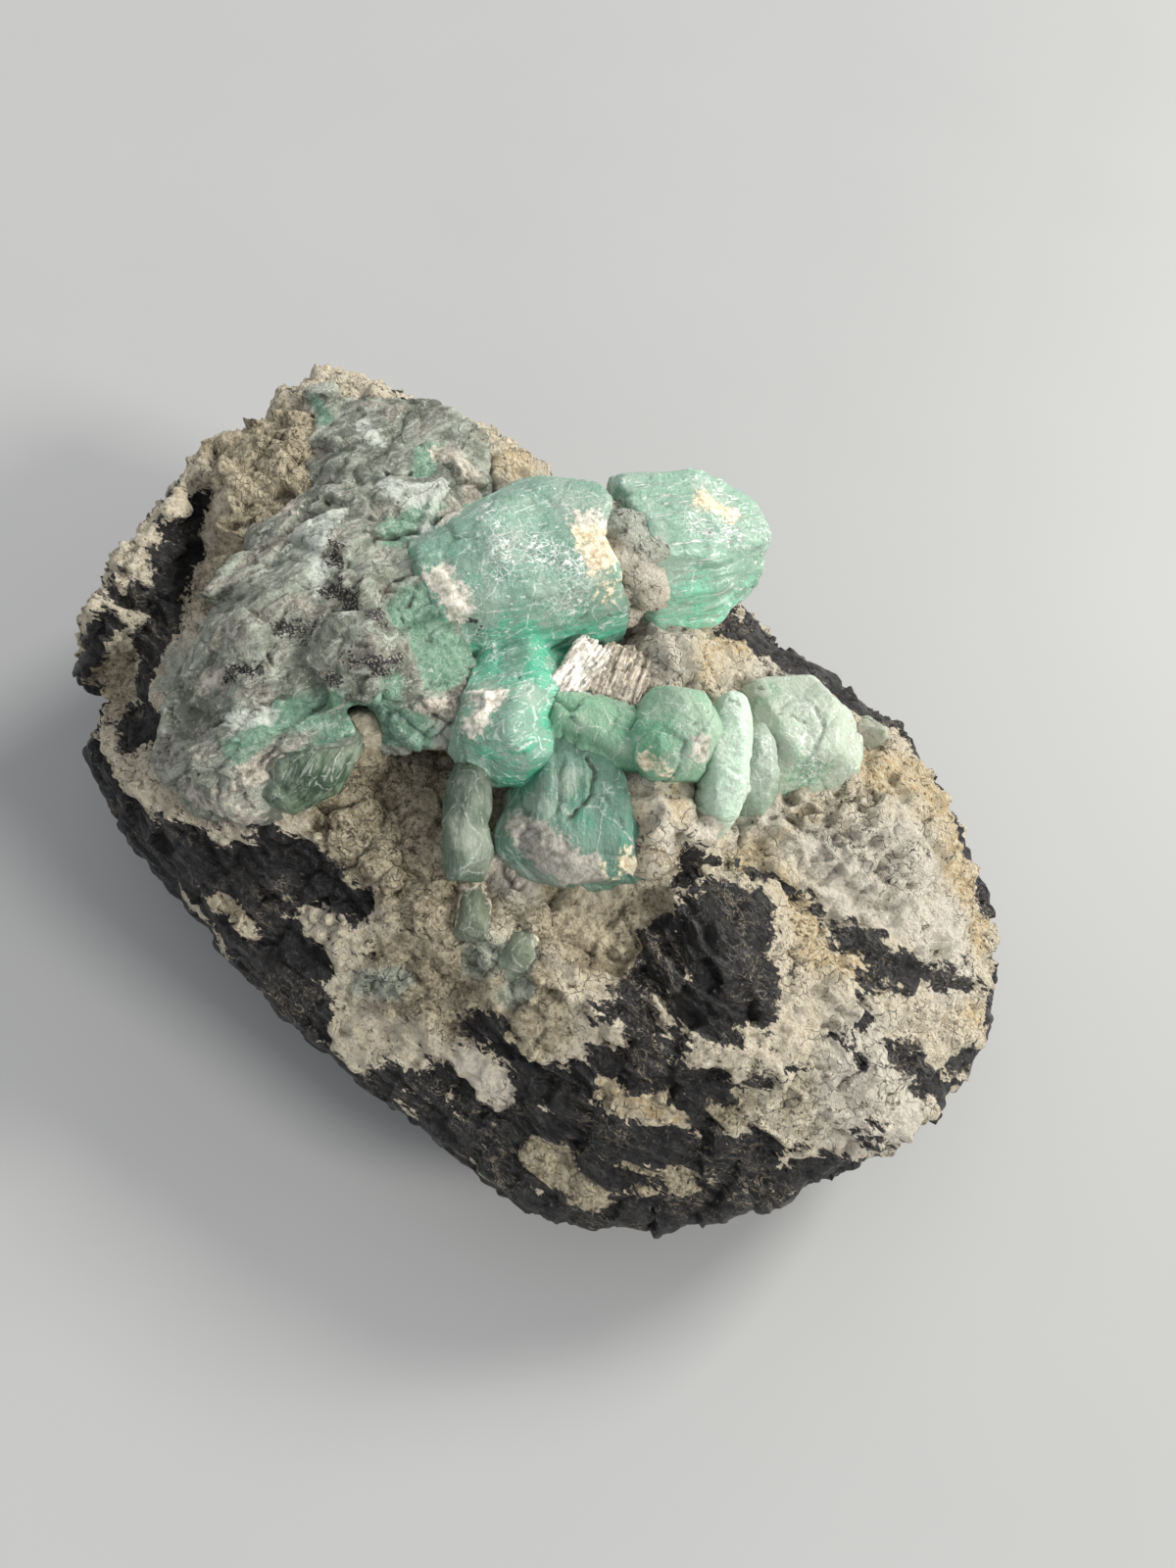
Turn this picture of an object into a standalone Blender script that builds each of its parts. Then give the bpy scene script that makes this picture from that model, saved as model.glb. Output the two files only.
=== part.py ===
"""Emerald in matrix: pale green beryl crystals, grown together across the top of a rounded block of
black mica schist with a crust of white and tan feldspar.

Sizes and places are in millimetres, turned into metres as each shape is made. +X runs along the
block, +Z is up, and the origin lies on the broken flat face that the block rests on.
"""

import math

import bmesh
import bpy
from mathutils import Euler, Matrix, Vector, noise

MM = 0.001
CRYSTAL_GAP = 0.45  # between a crystal and whatever it grew against
MASS_GAP = 1.4  # between the grown-together mass and the rock under it
ROCK_VOXEL = 2.6
MASS_VOXEL = 2.2
ROCK_TRIANGLES = 3500
MASS_TRIANGLES = 1150
SOCKET_TRIANGLES = 500
EDGE_WEAR = 0.9  # how far a crystal's edges are worn back

# Where the block is widest, as seen from above, going round from its right end.
BLOCK_OUTLINE = [
    (133, 31), (112, 56), (94, 73), (70, 86), (38, 93), (4, 92), (-34, 87), (-70, 82),
    (-100, 75), (-122, 64), (-134, 38), (-130, 4), (-122, -29), (-104, -52), (-80, -70),
    (-48, -82), (-8, -86), (34, -87), (66, -86), (92, -68), (114, -40), (130, -5),
]  # fmt: skip
# Heights of the block's side, each with how large the outline is there.
BLOCK_PROFILE = [(-8, 0.60), (10, 0.80), (26, 0.94), (42, 1.0), (56, 0.975), (68, 0.88), (76, 0.70)]
OUTLINE_STEPS = 5  # points on the smooth outline between two given ones
ROCK_LAYERS = (0.15, 0.55, 0.82)  # the way the schist's layers are stacked
MASS_LAYERS = (0.55, -0.30, 0.78)


def lump(name, at, size, turn=(0, 0, 0), squareness=2):
    """One mass of rock of these full sizes, turned by degrees about X, Y and Z: an ellipsoid at a
    squareness of 2, and nearer to a box with round edges the higher it is."""
    return {"name": name, "at": at, "size": size, "turn": turn, "squareness": squareness}


ROCK_LUMPS = [
    lump("left shoulder", (-84, 6, 60), (96, 128, 60), (0, -4, 8)),
    lump("left end", (-108, 35, 53), (62, 106, 88), (0, -3, 4), 4),
    lump("outer rim", (-123, -14, 63), (22, 72, 46), (0, 4, 4), 3),
    lump("front left flank", (-62, -58, 44), (104, 44, 52), (14, 0, -6)),
    lump("middle floor", (-18, -24, 54), (80, 82, 44), (10, 0, 0)),
    lump("back ridge", (-14, 54, 60), (150, 60, 56), (-6, 0, 2)),
    lump("back left corner", (-82, 60, 64), (64, 46, 50), (0, 0, -8), 3),
    lump("right dome", (72, 30, 54), (100, 104, 56), (4, 8, -20)),
    lump("black dome", (62, -17, 68), (38, 46, 34), (26, 0, 14)),
    lump("front apron", (44, -50, 46), (112, 62, 44), (24, 0, 6)),
    lump("right end", (106, 20, 46), (40, 66, 44), (0, 16, -14)),
    lump("seam between crystals", (-21, 53, 95), (11, 40, 42), (0, 0, 55)),
    lump("calcite saddle", (12, 36, 86), (30, 26, 22), (0, 0, 20)),
    lump("crust under the knob", (30, 0, 80), (34, 26, 26), (20, 0, 0)),
    lump("calcite behind the mass", (-62, 62, 82), (26, 22, 26)),
    lump("calcite nub", (-42, -30, 85), (13, 13, 13)),
]
ROCK_HOLLOWS = [
    lump("left pocket", (-110, -16, 90), (58, 14, 34), (0, 0, -55)),
    lump("front recess", (-42, -82, 66), (78, 22, 28), (26, 0, -8)),
    lump("back notch", (30, 92, 70), (44, 24, 34)),
    lump("hole under the beryl", (-18, -18, 82), (20, 16, 18)),
]

# Flat breaks, each a point on it and the way it faces.
ROCK_BREAKS = [
    ((30, -66, 59), (0.05, -0.70, 0.71)),
    ((82, -57, 53), (0.46, -0.58, 0.67)),
    ((114, 17, 61), (0.66, 0.05, 0.75)),
    ((99, 65, 56), (0.50, 0.62, 0.60)),
    ((16, 92, 44), (0.05, 0.97, 0.22)),
    ((-62, -76, 40), (-0.24, -0.96, 0.14)),
    ((-120, -52, 50), (-0.72, -0.68, 0.12)),
    ((-138, 34, 60), (-0.99, 0.05, 0.10)),
    ((-102, 77, 60), (-0.30, 0.95, 0.08)),
    ((-97, 68, 89), (-0.12, 0.70, 0.70)),
    ((-20, 86, 66), (0.05, 0.80, 0.60)),
    ((40, -78, 20), (0.05, -0.76, -0.65)),
    ((108, -22, 20), (0.72, -0.24, -0.65)),
    ((70, 76, 20), (0.24, 0.72, -0.65)),
    ((-112, -30, 20), (-0.70, -0.28, -0.66)),
]
MASS_BREAKS = [
    ((-86, -12, 102), (-0.42, -0.10, 0.90)),
    ((-88, 42, 103), (-0.16, 0.10, 0.98)),
    ((-72, -54, 89), (-0.28, -0.62, 0.73)),
    ((-100, -2, 92), (-0.90, -0.36, 0.24)),
    ((-64, 52, 99), (0.52, 0.42, 0.74)),
    ((-66, -66, 78), (-0.12, -0.88, 0.46)),
    ((-58, -2, 106), (0.18, -0.05, 0.98)),
]

MASS_LUMPS = [
    lump("spotted slab", (-74, -14, 88), (46, 84, 40), (4, -14, 12), 2.6),
    lump("upper slab", (-87, 42, 91), (56, 46, 32), (-8, -4, 14), 2.6),
    lump("lower slab", (-66, -48, 80), (48, 42, 30), (18, -6, -18)),
    lump("core", (-56, 6, 92), (44, 66, 38), (0, 0, 20)),
    lump("hanging edge", (-34, -12, 92), (34, 30, 20), (0, 0, 10)),
]


def prism(root, tip, rings, turn=0, sides=6):
    """A crystal from root to tip. A ring is (share of the way, width, thickness)."""
    return {"root": root, "tip": tip, "rings": rings, "turn": turn, "sides": sides}


# The crystals that stand out of the grown-together mass: wedge, lump with facets, lump with mica
# spots, finger, knob and a small one under the edge.
MASS_CRYSTALS = [
    prism((-78, 12, 100), (-60, 34, 104), [(0, 16, 18), (0.5, 26, 22), (1, 16, 14)], 30),
    prism((-70, -6, 98), (-54, -4, 106), [(0, 18, 20), (1, 18, 18)], 10),
    prism((-52, -14, 92), (-46, -26, 108), [(0, 30, 28), (0.7, 30, 28), (1, 20, 20)], 10),
    prism((-42, -30, 94), (-64, -62, 87), [(0, 13, 15), (0.5, 16, 16), (1, 10, 10)], 20),
    prism((-112, 52, 86), (-117, 42, 98), [(0, 14, 14), (0.8, 15, 14), (1, 9, 9)], 10),
    prism((-40, -14, 87), (-32, -28, 84), [(0, 15, 12), (1, 12, 10)], 10),
]

# Each crystal that stands alone, as the prisms that it has grown from.
CRYSTALS = {
    "striated_crystal": [
        prism((-18, 57, 95), (3, 83, 96), [(0, 50, 46), (0.55, 46, 42), (1, 29, 27)], 12),
    ],
    "central_crystal": [
        prism((-50, 8, 93), (-26, 47, 95), [(0, 34, 36), (0.4, 49, 46), (1, 51, 46)], 12),
        prism((-26, 20, 86), (-7, -18, 94), [(0, 24, 24), (0.6, 27, 26), (0.92, 27, 25), (1, 20, 19)], 20),
    ],
    "rod_crystal": [
        prism((-13, -20, 90), (3, -43, 79), [(0, 9, 9), (0.5, 11, 11), (1, 10, 10)], 10),
    ],
    "knob_crystal": [
        prism((22, 20, 82), (24, 10, 106), [(0, 20, 20), (0.6, 24, 26), (0.9, 20, 24), (1, 12, 16)], 25),
        prism((-3, 3, 93), (20, 9, 95), [(0, 14, 15), (1, 14, 16)], 15),
    ],
    "scaly_crystal": [
        prism((34, 23, 80), (40, 13, 100), [(0, 12, 30), (0.6, 11, 34), (1, 6, 20)], 30, 8),
    ],
    "scalloped_crystal": [
        prism((41, 29, 78), (46, 21, 94), [(0, 12, 22), (0.6, 12, 24), (1, 7, 14)], 30, 8),
    ],
    "pale_crystal": [
        prism((38, 54, 74), (57, 34, 86), [(0, 34, 30), (0.6, 38, 32), (1, 24, 22)], 5),
    ],
    "corner_crystal": [
        prism((60, 70, 68), (64, 59, 80), [(0, 10, 12), (1, 10, 12)], 10),
    ],
    "wide_crystal": [
        prism((0, 8, 84), (25, -25, 80), [(0, 30, 24), (0.5, 36, 28), (0.85, 40, 26), (1, 26, 14)], 0),
    ],
    "tooth_crystal": [
        prism((-49, -32, 88), (-46, -55, 80), [(0, 24, 18), (0.6, 24, 18), (1, 12, 10)], 0),
    ],
    "small_crystal_left": [
        prism((4, -38, 70), (12, -52, 76), [(0, 12, 12), (1, 10, 10)], 10),
    ],
    "small_crystal_right": [
        prism((20, -38, 66), (26, -50, 76), [(0, 13, 14), (1, 11, 11)], 10),
    ],
    "mica_book_light": [
        prism((-7, 25, 91), (-5, 2, 93), [(0, 12, 22), (1, 11, 20)], 45, 4),
    ],
    "mica_book_dark": [
        prism((0, 30, 88), (6, 11, 92), [(0, 18, 22), (1, 18, 20)], 45, 4),
    ],
}  # fmt: skip


# Colour and roughness of each piece that isn't pale beryl.
PALE_BERYL = ((0.50, 0.72, 0.62), 0.35)
LOOKS = {
    "matrix": ((0.45, 0.41, 0.35), 0.85),
    "beryl_mass": ((0.52, 0.60, 0.53), 0.5),
    "central_crystal": ((0.26, 0.62, 0.48), 0.3),
    "mica_book_light": ((0.55, 0.52, 0.46), 0.4),
    "mica_book_dark": ((0.38, 0.35, 0.31), 0.4),
}


def clear_scene():
    for thing in list(bpy.data.objects):
        bpy.data.objects.remove(thing)


def finish(name, colour, roughness):
    """A Principled material for one piece."""
    material = bpy.data.materials.new(name)
    material.use_nodes = True
    shader = material.node_tree.nodes["Principled BSDF"]
    shader.inputs["Base Color"].default_value = (*colour, 1)
    shader.inputs["Roughness"].default_value = roughness
    shader.inputs["Metallic"].default_value = 0
    return material


def show(name, shape, material=None):
    """Puts a bmesh in the scene as one object."""
    mesh = bpy.data.meshes.new(name)
    shape.to_mesh(mesh)
    shape.free()
    thing = bpy.data.objects.new(name, mesh)
    bpy.context.scene.collection.objects.link(thing)
    if material:
        mesh.materials.append(material)
    return thing


def settle(thing):
    """Applies every modifier on an object."""
    bpy.context.view_layer.update()
    graph = bpy.context.evaluated_depsgraph_get()
    made = bpy.data.meshes.new_from_object(thing.evaluated_get(graph))
    thing.modifiers.clear()
    thing.data = made
    return thing


def keep_largest(thing):
    """Drops the chips that a cut leaves loose."""
    shape = bmesh.new()
    shape.from_mesh(thing.data)
    left = set(shape.verts)
    groups = []
    while left:
        edge_of_group = [left.pop()]
        group = []
        while edge_of_group:
            corner = edge_of_group.pop()
            group.append(corner)
            for edge in corner.link_edges:
                other = edge.other_vert(corner)
                if other in left:
                    left.remove(other)
                    edge_of_group.append(other)
        groups.append(group)
    groups.sort(key=len, reverse=True)
    for group in groups[1:]:
        bmesh.ops.delete(shape, geom=group, context="VERTS")
    shape.to_mesh(thing.data)
    shape.free()
    return thing


def smooth_loop(points, steps):
    """A closed Catmull-Rom curve through plan points."""
    curve = []
    count = len(points)
    for i in range(count):
        before, start, end, after = (Vector(points[(i + k) % count]) for k in (-1, 0, 1, 2))
        for k in range(steps):
            t = k / steps
            curve.append(
                0.5 * (2 * start + (end - before) * t
                       + (2 * before - 5 * start + 4 * end - after) * t ** 2
                       + (3 * start - before - 3 * end + after) * t ** 3)
            )  # fmt: skip
    return curve


def block():
    """The block itself: its widest outline, drawn in towards the top and the foot."""
    shape = bmesh.new()
    outline = smooth_loop(BLOCK_OUTLINE, OUTLINE_STEPS)
    rings = []
    for height, share in BLOCK_PROFILE:
        rings.append([shape.verts.new((p.x * share * MM, p.y * share * MM, height * MM)) for p in outline])
    for lower, upper in zip(rings, rings[1:]):
        for i in range(len(outline)):
            j = (i + 1) % len(outline)
            shape.faces.new((lower[i], lower[j], upper[j], upper[i]))
    shape.faces.new(reversed(rings[0]))
    shape.faces.new(rings[-1])
    return shape


def rounded(mass, detail=3):
    """The closed shape of one lump."""
    shape = bmesh.new()
    bmesh.ops.create_icosphere(shape, subdivisions=detail, radius=0.5)
    power = mass["squareness"]
    for corner in shape.verts:
        way = corner.co.normalized()
        corner.co *= sum(abs(part) ** power for part in way) ** (-1 / power)
    turn = Euler([math.radians(a) for a in mass["turn"]]).to_matrix().to_4x4()
    size = Matrix.Diagonal((*[s * MM for s in mass["size"]], 1))
    shape.transform(Matrix.Translation(Vector(mass["at"]) * MM) @ turn @ size)
    return shape


def joined(name, shapes):
    """Several closed shapes in one object, still overlapping."""
    whole = bmesh.new()
    for shape in shapes:
        part = bpy.data.meshes.new(name)
        shape.to_mesh(part)
        shape.free()
        whole.from_mesh(part)
        bpy.data.meshes.remove(part)
    return show(name, whole)


def fuse(thing, voxel, smoothing):
    """Fuses overlapping shapes into one skin and softens where they meet."""
    remesh = thing.modifiers.new("fuse", "REMESH")
    remesh.mode = "VOXEL"
    remesh.voxel_size = voxel * MM
    soften = thing.modifiers.new("soften", "SMOOTH")
    soften.factor = 0.5
    soften.iterations = smoothing
    return settle(thing)


def carve(thing, cutter, operation="DIFFERENCE"):
    cut = thing.modifiers.new("cut", "BOOLEAN")
    cut.operation = operation
    cut.solver = "EXACT"
    cut.object = cutter
    return settle(thing)


def weather(thing, reach, scale, seed):
    """Pushes the skin in and out along its normals by ridged noise, up to reach, in lumps of this scale."""
    shape = bmesh.new()
    shape.from_mesh(thing.data)
    shape.normal_update()
    shift = Vector((seed, -seed, 2 * seed))
    moves = []
    for corner in shape.verts:
        at = corner.co / (scale * MM) + shift
        wave = noise.fractal(at, 0.9, 2.1, 3)
        ridge = 0.5 - abs(noise.noise(at * 0.7 + shift))
        moves.append(corner.normal * ((0.6 * wave + 0.5 * ridge) * reach * MM))
    for corner, move in zip(shape.verts, moves):
        corner.co += move
    shape.to_mesh(thing.data)
    shape.free()
    return thing


def broken(thing, breaks):
    """Splits the outside off along flat breaks."""
    shape = copy_of(thing)
    for point, way in breaks:
        everything = shape.verts[:] + shape.edges[:] + shape.faces[:]
        made = bmesh.ops.bisect_plane(
            shape, geom=everything, dist=1e-6, plane_co=Vector(point) * MM, plane_no=way, clear_outer=True
        )
        rim = [g for g in made["geom_cut"] if isinstance(g, bmesh.types.BMEdge)]
        bmesh.ops.holes_fill(shape, edges=rim, sides=0)
    shape.to_mesh(thing.data)
    shape.free()
    return thing


def layered(thing, way, pitch, reach):
    """Cuts the skin into ledges where layers stacked along one direction come to the surface."""
    shape = copy_of(thing)
    shape.normal_update()
    stack = Vector(way).normalized()
    for corner in shape.verts:
        height = corner.co.dot(stack) / (pitch * MM) + 0.9 * noise.noise(corner.co / (45 * MM))
        step = math.sqrt(height - math.floor(height)) - 0.65
        strength = min(max(0.6 + 1.4 * noise.noise(corner.co / (38 * MM) + stack * 7), 0.0), 1.2)
        corner.co += corner.normal * (step * strength * reach * MM)
    shape.to_mesh(thing.data)
    shape.free()
    return thing


def thin_out(thing, triangles):
    """Brings a mesh down to about this many triangles."""
    thing.data.calc_loop_triangles()
    thin = thing.modifiers.new("thin", "DECIMATE")
    thin.ratio = triangles / len(thing.data.loop_triangles)
    return settle(thing)


def flat_foot(thing):
    """Cuts the object off at the surface it rests on."""
    shape = bmesh.new()
    shape.from_mesh(thing.data)
    everything = shape.verts[:] + shape.edges[:] + shape.faces[:]
    made = bmesh.ops.bisect_plane(
        shape, geom=everything, dist=1e-7, plane_co=(0, 0, 0), plane_no=(0, 0, 1), clear_inner=True
    )
    rim = [g for g in made["geom_cut"] if isinstance(g, bmesh.types.BMEdge)]
    bmesh.ops.holes_fill(shape, edges=rim, sides=0)
    bmesh.ops.triangulate(shape, faces=shape.faces[:])
    bmesh.ops.recalc_face_normals(shape, faces=shape.faces[:])
    shape.to_mesh(thing.data)
    shape.free()
    return thing


def copy_of(thing):
    shape = bmesh.new()
    shape.from_mesh(thing.data)
    return shape


def grown(thing, reach):
    """Turns an object into a cutter, its every face standing out by reach."""
    shape = copy_of(thing)
    bmesh.ops.remove_doubles(shape, verts=shape.verts[:], dist=0.05 * MM)
    shape.normal_update()
    moves = [v.normal * (reach * MM * min(v.calc_shell_factor(), 1.8)) for v in shape.verts]
    for corner, move in zip(shape.verts, moves):
        corner.co += move
    shape.to_mesh(thing.data)
    shape.free()
    thing.name = "cutter"
    thing.hide_render = True
    thing.display_type = "WIRE"
    return thing


def grow(name, spec):
    """One prism: rings of corners along its axis, hulled, with worn edges."""
    root, tip = Vector(spec["root"]), Vector(spec["tip"])
    axis = tip - root
    aim = axis.to_track_quat("Z", "Y").to_matrix()
    shape = bmesh.new()
    for share, width, thickness in spec["rings"]:
        for i in range(spec["sides"]):
            angle = math.radians(spec["turn"]) + math.tau * i / spec["sides"]
            across = Vector((math.cos(angle) * width / 2, math.sin(angle) * thickness / 2, 0))
            shape.verts.new((root + axis * share + aim @ across) * MM)
    hull = bmesh.ops.convex_hull(shape, input=shape.verts[:])
    loose = [g for g in hull["geom_interior"] + hull["geom_unused"] if isinstance(g, bmesh.types.BMVert)]
    bmesh.ops.delete(shape, geom=list(set(loose)), context="VERTS")
    bmesh.ops.dissolve_limit(
        shape, angle_limit=math.radians(4), verts=shape.verts[:], edges=shape.edges[:]
    )
    bmesh.ops.bevel(
        shape, geom=shape.edges[:], offset=EDGE_WEAR * MM, segments=1, affect="EDGES", profile=0.5,
        clamp_overlap=True,
    )
    bmesh.ops.triangulate(shape, faces=shape.faces[:])
    bmesh.ops.recalc_face_normals(shape, faces=shape.faces[:])
    return show(name, shape)


def add_prisms(thing, specs):
    """Unites more prisms with an object."""
    for spec in specs:
        limb = grow("limb", spec)
        carve(thing, limb, "UNION")
        bpy.data.objects.remove(limb)
    return thing


def cut_free(piece, cutters):
    """Cuts an object clear of the earlier ones that it meets."""
    for cutter in cutters:
        if near(piece, cutter):
            carve(piece, cutter)
    return keep_largest(piece)


def main():
    clear_scene()
    pieces = []
    cutters = []
    for name, specs in CRYSTALS.items():
        crystal = grow(name, specs[0])
        add_prisms(crystal, specs[1:])
        cut_free(crystal, cutters)
        pieces.append(crystal)
        cutters.extend(grown(grow(name, spec), CRYSTAL_GAP) for spec in specs)

    mass = joined("beryl_mass", [rounded(m) for m in MASS_LUMPS])
    fuse(mass, MASS_VOXEL, 4)
    broken(mass, MASS_BREAKS)
    fuse(mass, MASS_VOXEL, 1)
    weather(mass, 1.8, 15, 3)
    layered(mass, MASS_LAYERS, 12, 1.6)
    thin_out(mass, MASS_TRIANGLES)
    socket = grown(show("socket", copy_of(mass)), MASS_GAP)
    mass_cutters = [thin_out(fuse(socket, MASS_VOXEL, 1), SOCKET_TRIANGLES)]
    mass_cutters.extend(grown(grow("limb", spec), CRYSTAL_GAP) for spec in MASS_CRYSTALS)
    add_prisms(mass, MASS_CRYSTALS)
    cut_free(mass, cutters)
    pieces.append(mass)
    cutters.extend(mass_cutters)

    rock = joined("matrix", [block()] + [rounded(m) for m in ROCK_LUMPS])
    fuse(rock, ROCK_VOXEL, 6)
    broken(rock, ROCK_BREAKS)
    for hollow in ROCK_HOLLOWS:
        cutter = show(hollow["name"], rounded(hollow))
        carve(rock, cutter)
        bpy.data.objects.remove(cutter)
    fuse(rock, ROCK_VOXEL, 1)
    weather(rock, 3.0, 24, 7)
    layered(rock, ROCK_LAYERS, 17, 3.0)
    thin_out(rock, ROCK_TRIANGLES)
    flat_foot(rock)
    cut_free(rock, cutters)
    pieces.append(rock)
    for cutter in cutters:
        bpy.data.objects.remove(cutter)

    for piece in pieces:
        piece.data.materials.clear()
        piece.data.materials.append(finish(piece.name, *LOOKS.get(piece.name, PALE_BERYL)))
    stand_centred(pieces)


def stand_centred(pieces):
    """Hangs every piece on one empty, which brings the middle of the base to the origin."""
    corners = [v.co for piece in pieces for v in piece.data.vertices]
    middle = [(min(c[i] for c in corners) + max(c[i] for c in corners)) / 2 for i in range(2)]
    holder = bpy.data.objects.new("emerald_in_matrix", None)
    holder.location = (-middle[0], -middle[1], 0)
    bpy.context.scene.collection.objects.link(holder)
    for piece in pieces:
        piece.parent = holder


def near(a, b):
    """Whether two objects' boxes meet."""
    boxes = []
    for thing in (a, b):
        corners = [v.co for v in thing.data.vertices]
        boxes.append([(min(c[i] for c in corners), max(c[i] for c in corners)) for i in range(3)])
    return all(lo_a < hi_b + 0.002 and lo_b < hi_a + 0.002 for (lo_a, hi_a), (lo_b, hi_b) in zip(*boxes))


main()
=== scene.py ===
"""Emerald in matrix: beryl crystals on a block of black mica schist with a pale crust.

Positions in the tables are in millimetres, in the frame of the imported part.
"""

import itertools
import math

import bmesh
import bpy
import numpy as np
from mathutils import Matrix, Vector
from mathutils.bvhtree import BVHTree


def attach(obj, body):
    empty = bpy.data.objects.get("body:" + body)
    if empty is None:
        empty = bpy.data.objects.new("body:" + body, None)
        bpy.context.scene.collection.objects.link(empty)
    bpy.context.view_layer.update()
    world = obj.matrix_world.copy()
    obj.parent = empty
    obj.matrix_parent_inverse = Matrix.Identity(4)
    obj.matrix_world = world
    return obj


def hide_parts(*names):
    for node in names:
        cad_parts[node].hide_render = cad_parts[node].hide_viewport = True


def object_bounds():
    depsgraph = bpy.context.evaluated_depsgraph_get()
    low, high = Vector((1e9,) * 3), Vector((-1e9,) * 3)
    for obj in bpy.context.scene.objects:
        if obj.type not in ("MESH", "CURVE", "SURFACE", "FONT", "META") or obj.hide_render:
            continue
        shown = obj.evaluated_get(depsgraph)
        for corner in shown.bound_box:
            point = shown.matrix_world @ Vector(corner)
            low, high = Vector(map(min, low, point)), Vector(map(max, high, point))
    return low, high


MM = 0.001
TINY = 1e-6
FAR_OUTSIDE = -15.0
MERGE_DISTANCE = 0.00001

# Voxel in mm and number of triangles of the pieces that have no row in CRYSTALS.
ROCK_VOXEL, ROCK_TRIANGLES = 0.85, 197000
MASS_VOXEL, MASS_TRIANGLES = 0.6, 180000
MICA_VOXEL, MICA_TRIANGLES = 0.35, 30000

# The layers of the schist lie across LAYER. The mass is streaked along STREAKS.
LAYER = (0.15, 0.55, 0.82)
STREAKS = (0.30, 0.95, 0.10)

# The camera looks down on the block from in front and to the right, turned a little in the hand.
CAMERA_PLACE = (69.884, -142.903, 328.754)
CAMERA_AZIMUTH = 22.0
CAMERA_ELEVATION = 59.0
CAMERA_ROLL = 15.0
CAMERA_LENS = 26.0
CAMERA_SENSOR = 36.0

# Patches of the block and the crystals. Each stroke is a half width and the points it runs through.
# FACETED crust breaks in flat faces, and BOXWORK crust has thin walls round small cells.
SCHIST = (
    (8, (60, -16, 84), (66, -12, 84), (68, -22, 85)),
    (7, (60, -28, 84), (66, -30, 83), (76, -22, 81)),
    (6, (57, -33, 79), (64, -36, 79), (74, -34, 79), (80, -28, 78)),
    (2, (49, -53, 75), (53, -49, 76), (57, -45, 76)),
    (4, (51, -26, 79), (54, -34, 78), (52, -42, 76)),
    (3, (55, -42, 76), (59, -50, 76), (67, -52, 73)),
    (2.5, (57, -44, 76), (63, -46, 76), (70, -47, 75)),
    (3.5, (56, -57, 70), (64, -54, 70), (72, -51, 71), (80, -47, 70), (86, -46, 66)),
    (4.5, (45, -68, 61), (54, -69, 60), (62, -68, 59)),
    (6, (60, -70, 57), (68, -67, 58), (76, -64, 58), (88, -58, 54), (100, -49, 52)),
    (4.5, (50, -67, 61), (61, -66, 61), (74, -64, 60)),
    (4, (56, -61, 66), (57, -66, 62)),
    (3.5, (77, -52, 67), (84, -54, 63), (90, -53, 59)),
    (5, (97, -56, 48), (105, -51, 47), (113, -44, 47), (118, -38, 46)),
    (3, (99, -45, 57), (106, -41, 55)),
    (3.5, (27, -69, 62), (31, -66, 65), (36, -67, 63), (44, -68, 61)),
    (5, (36, -80, 48), (43, -78, 50), (51, -76, 53), (56, -74, 55)),
    (3.5, (68, -75, 52), (78, -72, 50)),
    (6, (82, -76, 42), (92, -69, 40)),
    (4, (64, -83, 42), (70, -80, 43)),
    (4, (15, -84, 46), (21, -83, 47), (27, -80, 48)),
    (4, (88, 3, 77), (94, 5, 77), (98, 1, 76), (105, 5, 73)),
    (1.6, (105, 8, 73), (116, 16, 63), (127, 27, 53), (134, 26, 47)),
    (2.2, (100, -4, 76), (104, 2, 73), (108, 5, 71)),
    (1.8, (98, -8, 76), (102, -13, 73)),
    (1.8, (98, -20, 73), (105, -21, 71)),
    (3, (112, -13, 68), (119, -7, 61), (125, -7, 56)),
    (3.5, (125, -7, 56), (132, -4, 49)),
    (1.8, (87, -40, 70), (92, -38, 69)),
    (2, (95, -45, 61), (102, -42, 58)),
    (1.1, (47, -9, 84), (56, 0, 78), (67, 2, 78), (76, 6, 79), (83, 3, 77), (88, 3, 77)),
    (3, (46, -8, 86), (50, -12, 80)),
    (10, (-120, -46, 52), (-103, -62, 50), (-78, -74, 52), (-60, -78, 48)),
    (9, (-62, -76, 60), (-46, -74, 60), (-32, -67, 65)),
    (6, (-38, -64, 69), (-24, -62, 69), (-13, -63, 70)),
    (10, (-46, -82, 46), (-30, -82, 48), (-14, -84, 46)),
    (7, (-30, -78, 56), (-16, -78, 58)),
    (6, (-122, -5, 84), (-116, -15, 80), (-110, -26, 80), (-103, -37, 76)),
    (5, (-100, -42, 75), (-97, -48, 73), (-92, -53, 70), (-86, -57, 69)),
    (5, (-114, -48, 79), (-117, -52, 66), (-104, -65, 54), (-94, -70, 49)),
    (4, (-118, -38, 83), (-113, -36, 83)),
    (5, (-110, -33, 79), (-116, -36, 82)),
    (3, (-108, -41, 75), (-100, -42, 74)),
    (5, (-128, -14, 78), (-126, -30, 74), (-120, -44, 70)),
    (6, (-92, -56, 66), (-88, -60, 66)),
    (4, (-107, 58, 92), (-92, 64, 92)),
    (14, (22, 70, 66), (54, 74, 62), (86, 62, 60), (108, 50, 50)),
    (6, (17, 60, 81), (26, 63, 80), (40, 66, 78)),
)
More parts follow.
